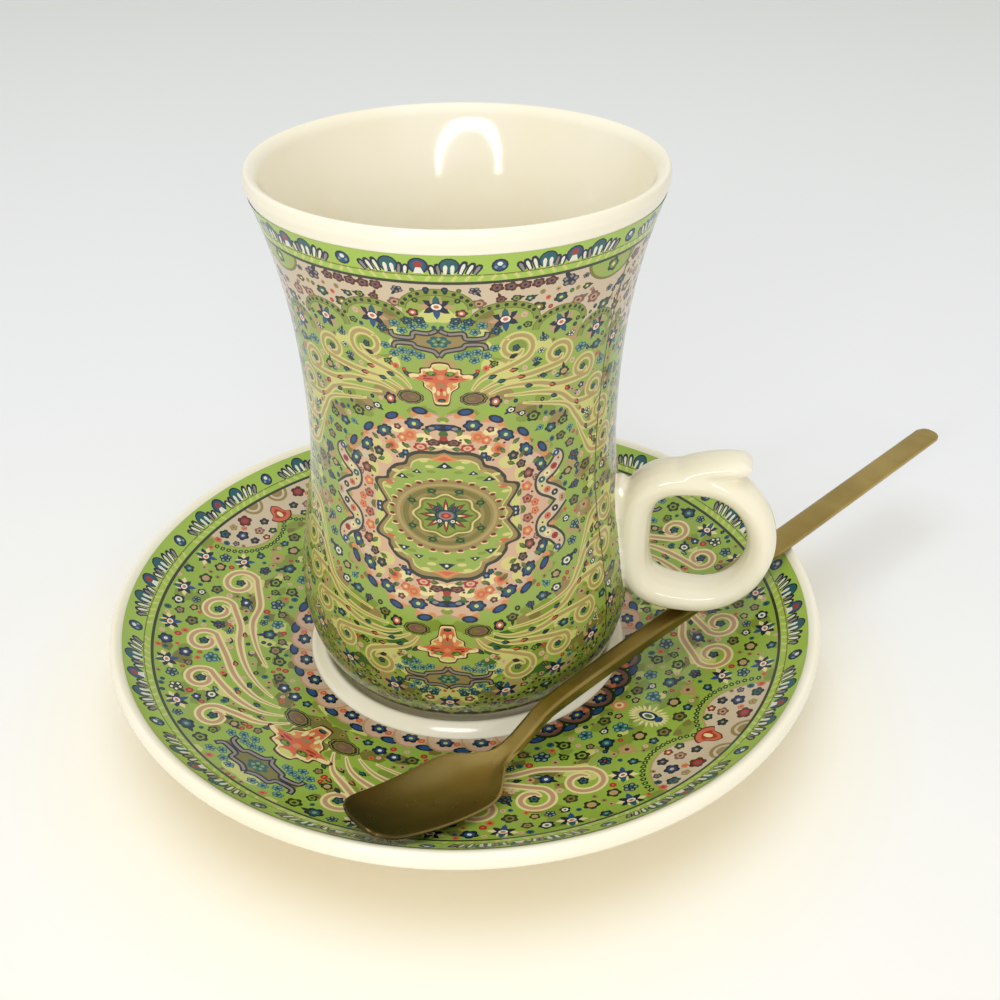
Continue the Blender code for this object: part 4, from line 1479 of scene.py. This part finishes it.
# Painted warm glow on the table close to the saucer, standing in for light bounced off the glaze into its
# shadow
PAINTED_GLOW_REACH = 0.1
PAINTED_GLOW_TONES = ((0.55, (255, 249, 232)), (0.8, (255, 255, 255)))
FILL_TONE = (1.0, 0.93, 0.76, 1)
FILL_STRENGTH = 0.6
BACKDROP_TONE = (0.97, 0.98, 1.0, 1)
BACKDROP_STRENGTH = 0.7
KEY_TONE = (0.81, 0.9, 1.0)
KEY_POWER = 4.0
KEY_SPOT = (-0.05, -0.05, 1.0)
KEY_SIZE = 0.9
ARCH_AIM = (0, 0, 0.08)
ARCH_MIDDLE = (0.06, -0.45, 0.17)
ARCH_WIDE = 0.175
ARCH_TALL = 0.118
ARCH_SQUARENESS = 0.7
ARCH_LAMPS = 15
ARCH_BAND = 0.042
ARCH_POWER = 0.055


def make_camera():
    """The camera of the photograph, by its heading, pitch and roll."""
    heading, pitch = CAMERA_HEADING, CAMERA_PITCH
    ahead = Vector((cos(heading) * cos(pitch), sin(heading) * cos(pitch), -sin(pitch)))
    right = Vector((sin(heading), -cos(heading), 0))
    up = right.cross(ahead)
    tipped_right = right * cos(CAMERA_ROLL) + up * sin(CAMERA_ROLL)
    tipped_up = up * cos(CAMERA_ROLL) - right * sin(CAMERA_ROLL)
    data = bpy.data.cameras.new("camera")
    data.lens = CAMERA_LENS
    data.sensor_width = SENSOR
    data.clip_start, data.clip_end = CAMERA_CLIP
    camera = bpy.data.objects.new("camera", data)
    bpy.context.scene.collection.objects.link(camera)
    axes = Matrix((tipped_right, tipped_up, -ahead)).transposed().to_4x4()
    camera.matrix_world = Matrix.Translation(Vector(CAMERA_SPOT) * MM) @ axes
    bpy.context.scene.camera = camera


def spread(tree, spots, middle, reach, tones):
    """A colour by the distance from a middle, up to a reach."""
    away = reckon(tree, "ShaderNodeVectorMath", "DISTANCE", spots, middle).outputs["Value"]
    share = node(tree, "ShaderNodeMapRange", Value=away, From_Max=reach)
    return ramp(tree, share.outputs["Result"], tones)


def make_floor():
    """A pale table with painted light: darker and cooler away from the camera, and a painted warm glow of
    light bounced off the glaze close to the saucer.
    """
    mesh = bpy.data.meshes.new("floor")
    level = -SAUCER_FOOT_DEPTH * MM
    corners = [(x * FLOOR_HALF, y * FLOOR_HALF, level) for x, y in ((-1, -1), (1, -1), (1, 1), (-1, 1))]
    mesh.from_pydata(corners, [], [(0, 1, 2, 3)])
    made, tree, shader = new_material("floor", colour((240, 242, 241)), 0.6)
    shader.inputs["Specular IOR Level"].default_value = 0.1
    spots = object_spots(tree)
    # Painted light: the falloff away from the camera times the warm glow near the saucer
    painted_falloff = spread(tree, spots, FLOOR_MIDDLE, FLOOR_REACH, FLOOR_PAINTED_FALLOFF)
    painted_glow = spread(tree, spots, (0, 0, level), PAINTED_GLOW_REACH, PAINTED_GLOW_TONES)
    feed(tree, shader.inputs["Base Color"], product(tree, painted_falloff, painted_glow))
    mesh.materials.append(made)
    floor = shown("floor", mesh)


def lamp(name, spot, target, size, power, tone=(1, 1, 1)):
    """A round area lamp at a spot, turned to a target."""
    data = bpy.data.lights.new(name, "AREA")
    data.shape = "DISK"
    data.size = size
    data.energy = power
    data.color = tone
    made = bpy.data.objects.new(name, data)
    bpy.context.scene.collection.objects.link(made)
    made.location = spot
    made.rotation_euler = (Vector(target) - Vector(spot)).to_track_quat("-Z", "Y").to_euler()
    return made


def make_light():
    """A warm fill, a broad lamp overhead and an arch of small lamps round the camera."""
    world = bpy.data.worlds.new("world")
    bpy.context.scene.world = world
    world.use_nodes = True
    tree = world.node_tree
    fill = tree.nodes["Background"]
    fill.inputs["Color"].default_value = FILL_TONE
    fill.inputs["Strength"].default_value = FILL_STRENGTH
    backdrop = node(tree, "ShaderNodeBackground", Color=BACKDROP_TONE, Strength=BACKDROP_STRENGTH)
    rays = node(tree, "ShaderNodeLightPath")
    seen = rays.outputs["Is Camera Ray"]
    for kind in ("Is Glossy Ray", "Is Transmission Ray"):
        seen = reckon(tree, "ShaderNodeMath", "MAXIMUM", seen, rays.outputs[kind]).outputs["Value"]
    choice = node(tree, "ShaderNodeMixShader", Fac=seen)
    feed(tree, choice.inputs[1], fill.outputs["Background"])
    feed(tree, choice.inputs[2], backdrop.outputs["Background"])
    feed(tree, tree.nodes["World Output"].inputs["Surface"], choice.outputs["Shader"])
    key = lamp("overhead", KEY_SPOT, (0, 0, 0), KEY_SIZE, KEY_POWER, KEY_TONE)
    key.visible_glossy = False
    x, y, z = ARCH_MIDDLE
    for i, a in enumerate(spaced(0, pi, ARCH_LAMPS - 1)):
        spot = (x + ARCH_WIDE * cos(a), y, z + ARCH_TALL * max(0.0, sin(a)) ** ARCH_SQUARENESS)
        lamp("arch_%d" % i, spot, ARCH_AIM, ARCH_BAND, ARCH_POWER)


def dress_cup(frame, glaze, inks):
    """The glazed cup, its border and seam, its four quarters of print and its handle."""
    wall = Wall()
    cup = turned("cup_glaze", cup_profile(), glaze)
    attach(cup, "cup")
    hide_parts("cup_body")

    def raised(theta, v):
        return wall.place(theta, v, BORDER_LIFT)

    def downward(theta, v):
        return wall.place(theta, -v)

    def on_seam(u, v):
        return raised(SEAM_PLACE + u / CUP_REACH, v)

    half = CUP_REACH * pi / CUP_BORDER_REPEATS
    ring = border(half, CUP_FIELD_TOP - BORDER_LAP, CUP_PRINT_TOP)
    round_cup = copies(turns(CUP_BORDER_TURN, CUP_BORDER_REPEATS), CUP_REACH, raised, False)
    films = [film("cup_border", [(ring, round_cup), (seam_sheet(), [(on_seam, False)])], inks)]
    # The lower sheet's corner ground is dark leaf lime, not blush: partly print, partly painted shade of
    # the belly's underside
    upper, lower = cup_sheet("blush", CUP_FIELD_TOP), cup_sheet("leaf_lime", CUP_LOW_END)
    for face, axis in (("front", CUP_AXIS), ("back", CUP_AXIS + pi)):
        above = copies([axis], CUP_REACH, wall.place, False)
        below = copies([axis], CUP_REACH, downward, True)
        films.append(film("cup_print_" + face, [(upper, above)], inks))
        films.append(film("cup_print_low_" + face, [(lower, below)], inks))
    for piece in films:
        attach(piece, "cup")
    handle = make_handle(frame["nodes"]["cup_handle"], glaze)
    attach(handle, "cup")
    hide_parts("cup_handle")


def dress_saucer(glaze, inks):
    """The glazed saucer and its print."""
    saucer = turned("saucer_glaze", saucer_profile(), glaze)
    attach(saucer, "saucer")
    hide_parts("saucer")

    def raised(theta, r):
        return dish_place(theta, r, BORDER_LIFT)

    half = SAUCER_REACH * pi / SAUCER_BORDER_REPEATS
    ring = border(half, SAUCER_FIELD_TOP - BORDER_LAP, SAUCER_PRINT_TOP)
    quarters = copies(turns(SAUCER_AXIS, 2), SAUCER_REACH, dish_place, True)
    round_saucer = copies(turns(SAUCER_BORDER_TURN, SAUCER_BORDER_REPEATS), SAUCER_REACH, raised, True)
    saucer_print = film("saucer_print", [(saucer_sheet(), quarters), (ring, round_saucer)], inks)
    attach(saucer_print, "saucer")


def main():
    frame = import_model()
    bpy.context.scene.view_settings.view_transform = "Standard"
    make_camera()
    make_floor()
    make_light()
    glaze = glaze_material()
    inks = {name: ink_material(name, display) for name, display in INKS.items()}
    dress_cup(frame, glaze, inks)
    dress_saucer(glaze, inks)
    spoon = make_spoon(frame["nodes"]["teaspoon"], brass_material())
    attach(spoon, "spoon")
    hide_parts("teaspoon")


main()
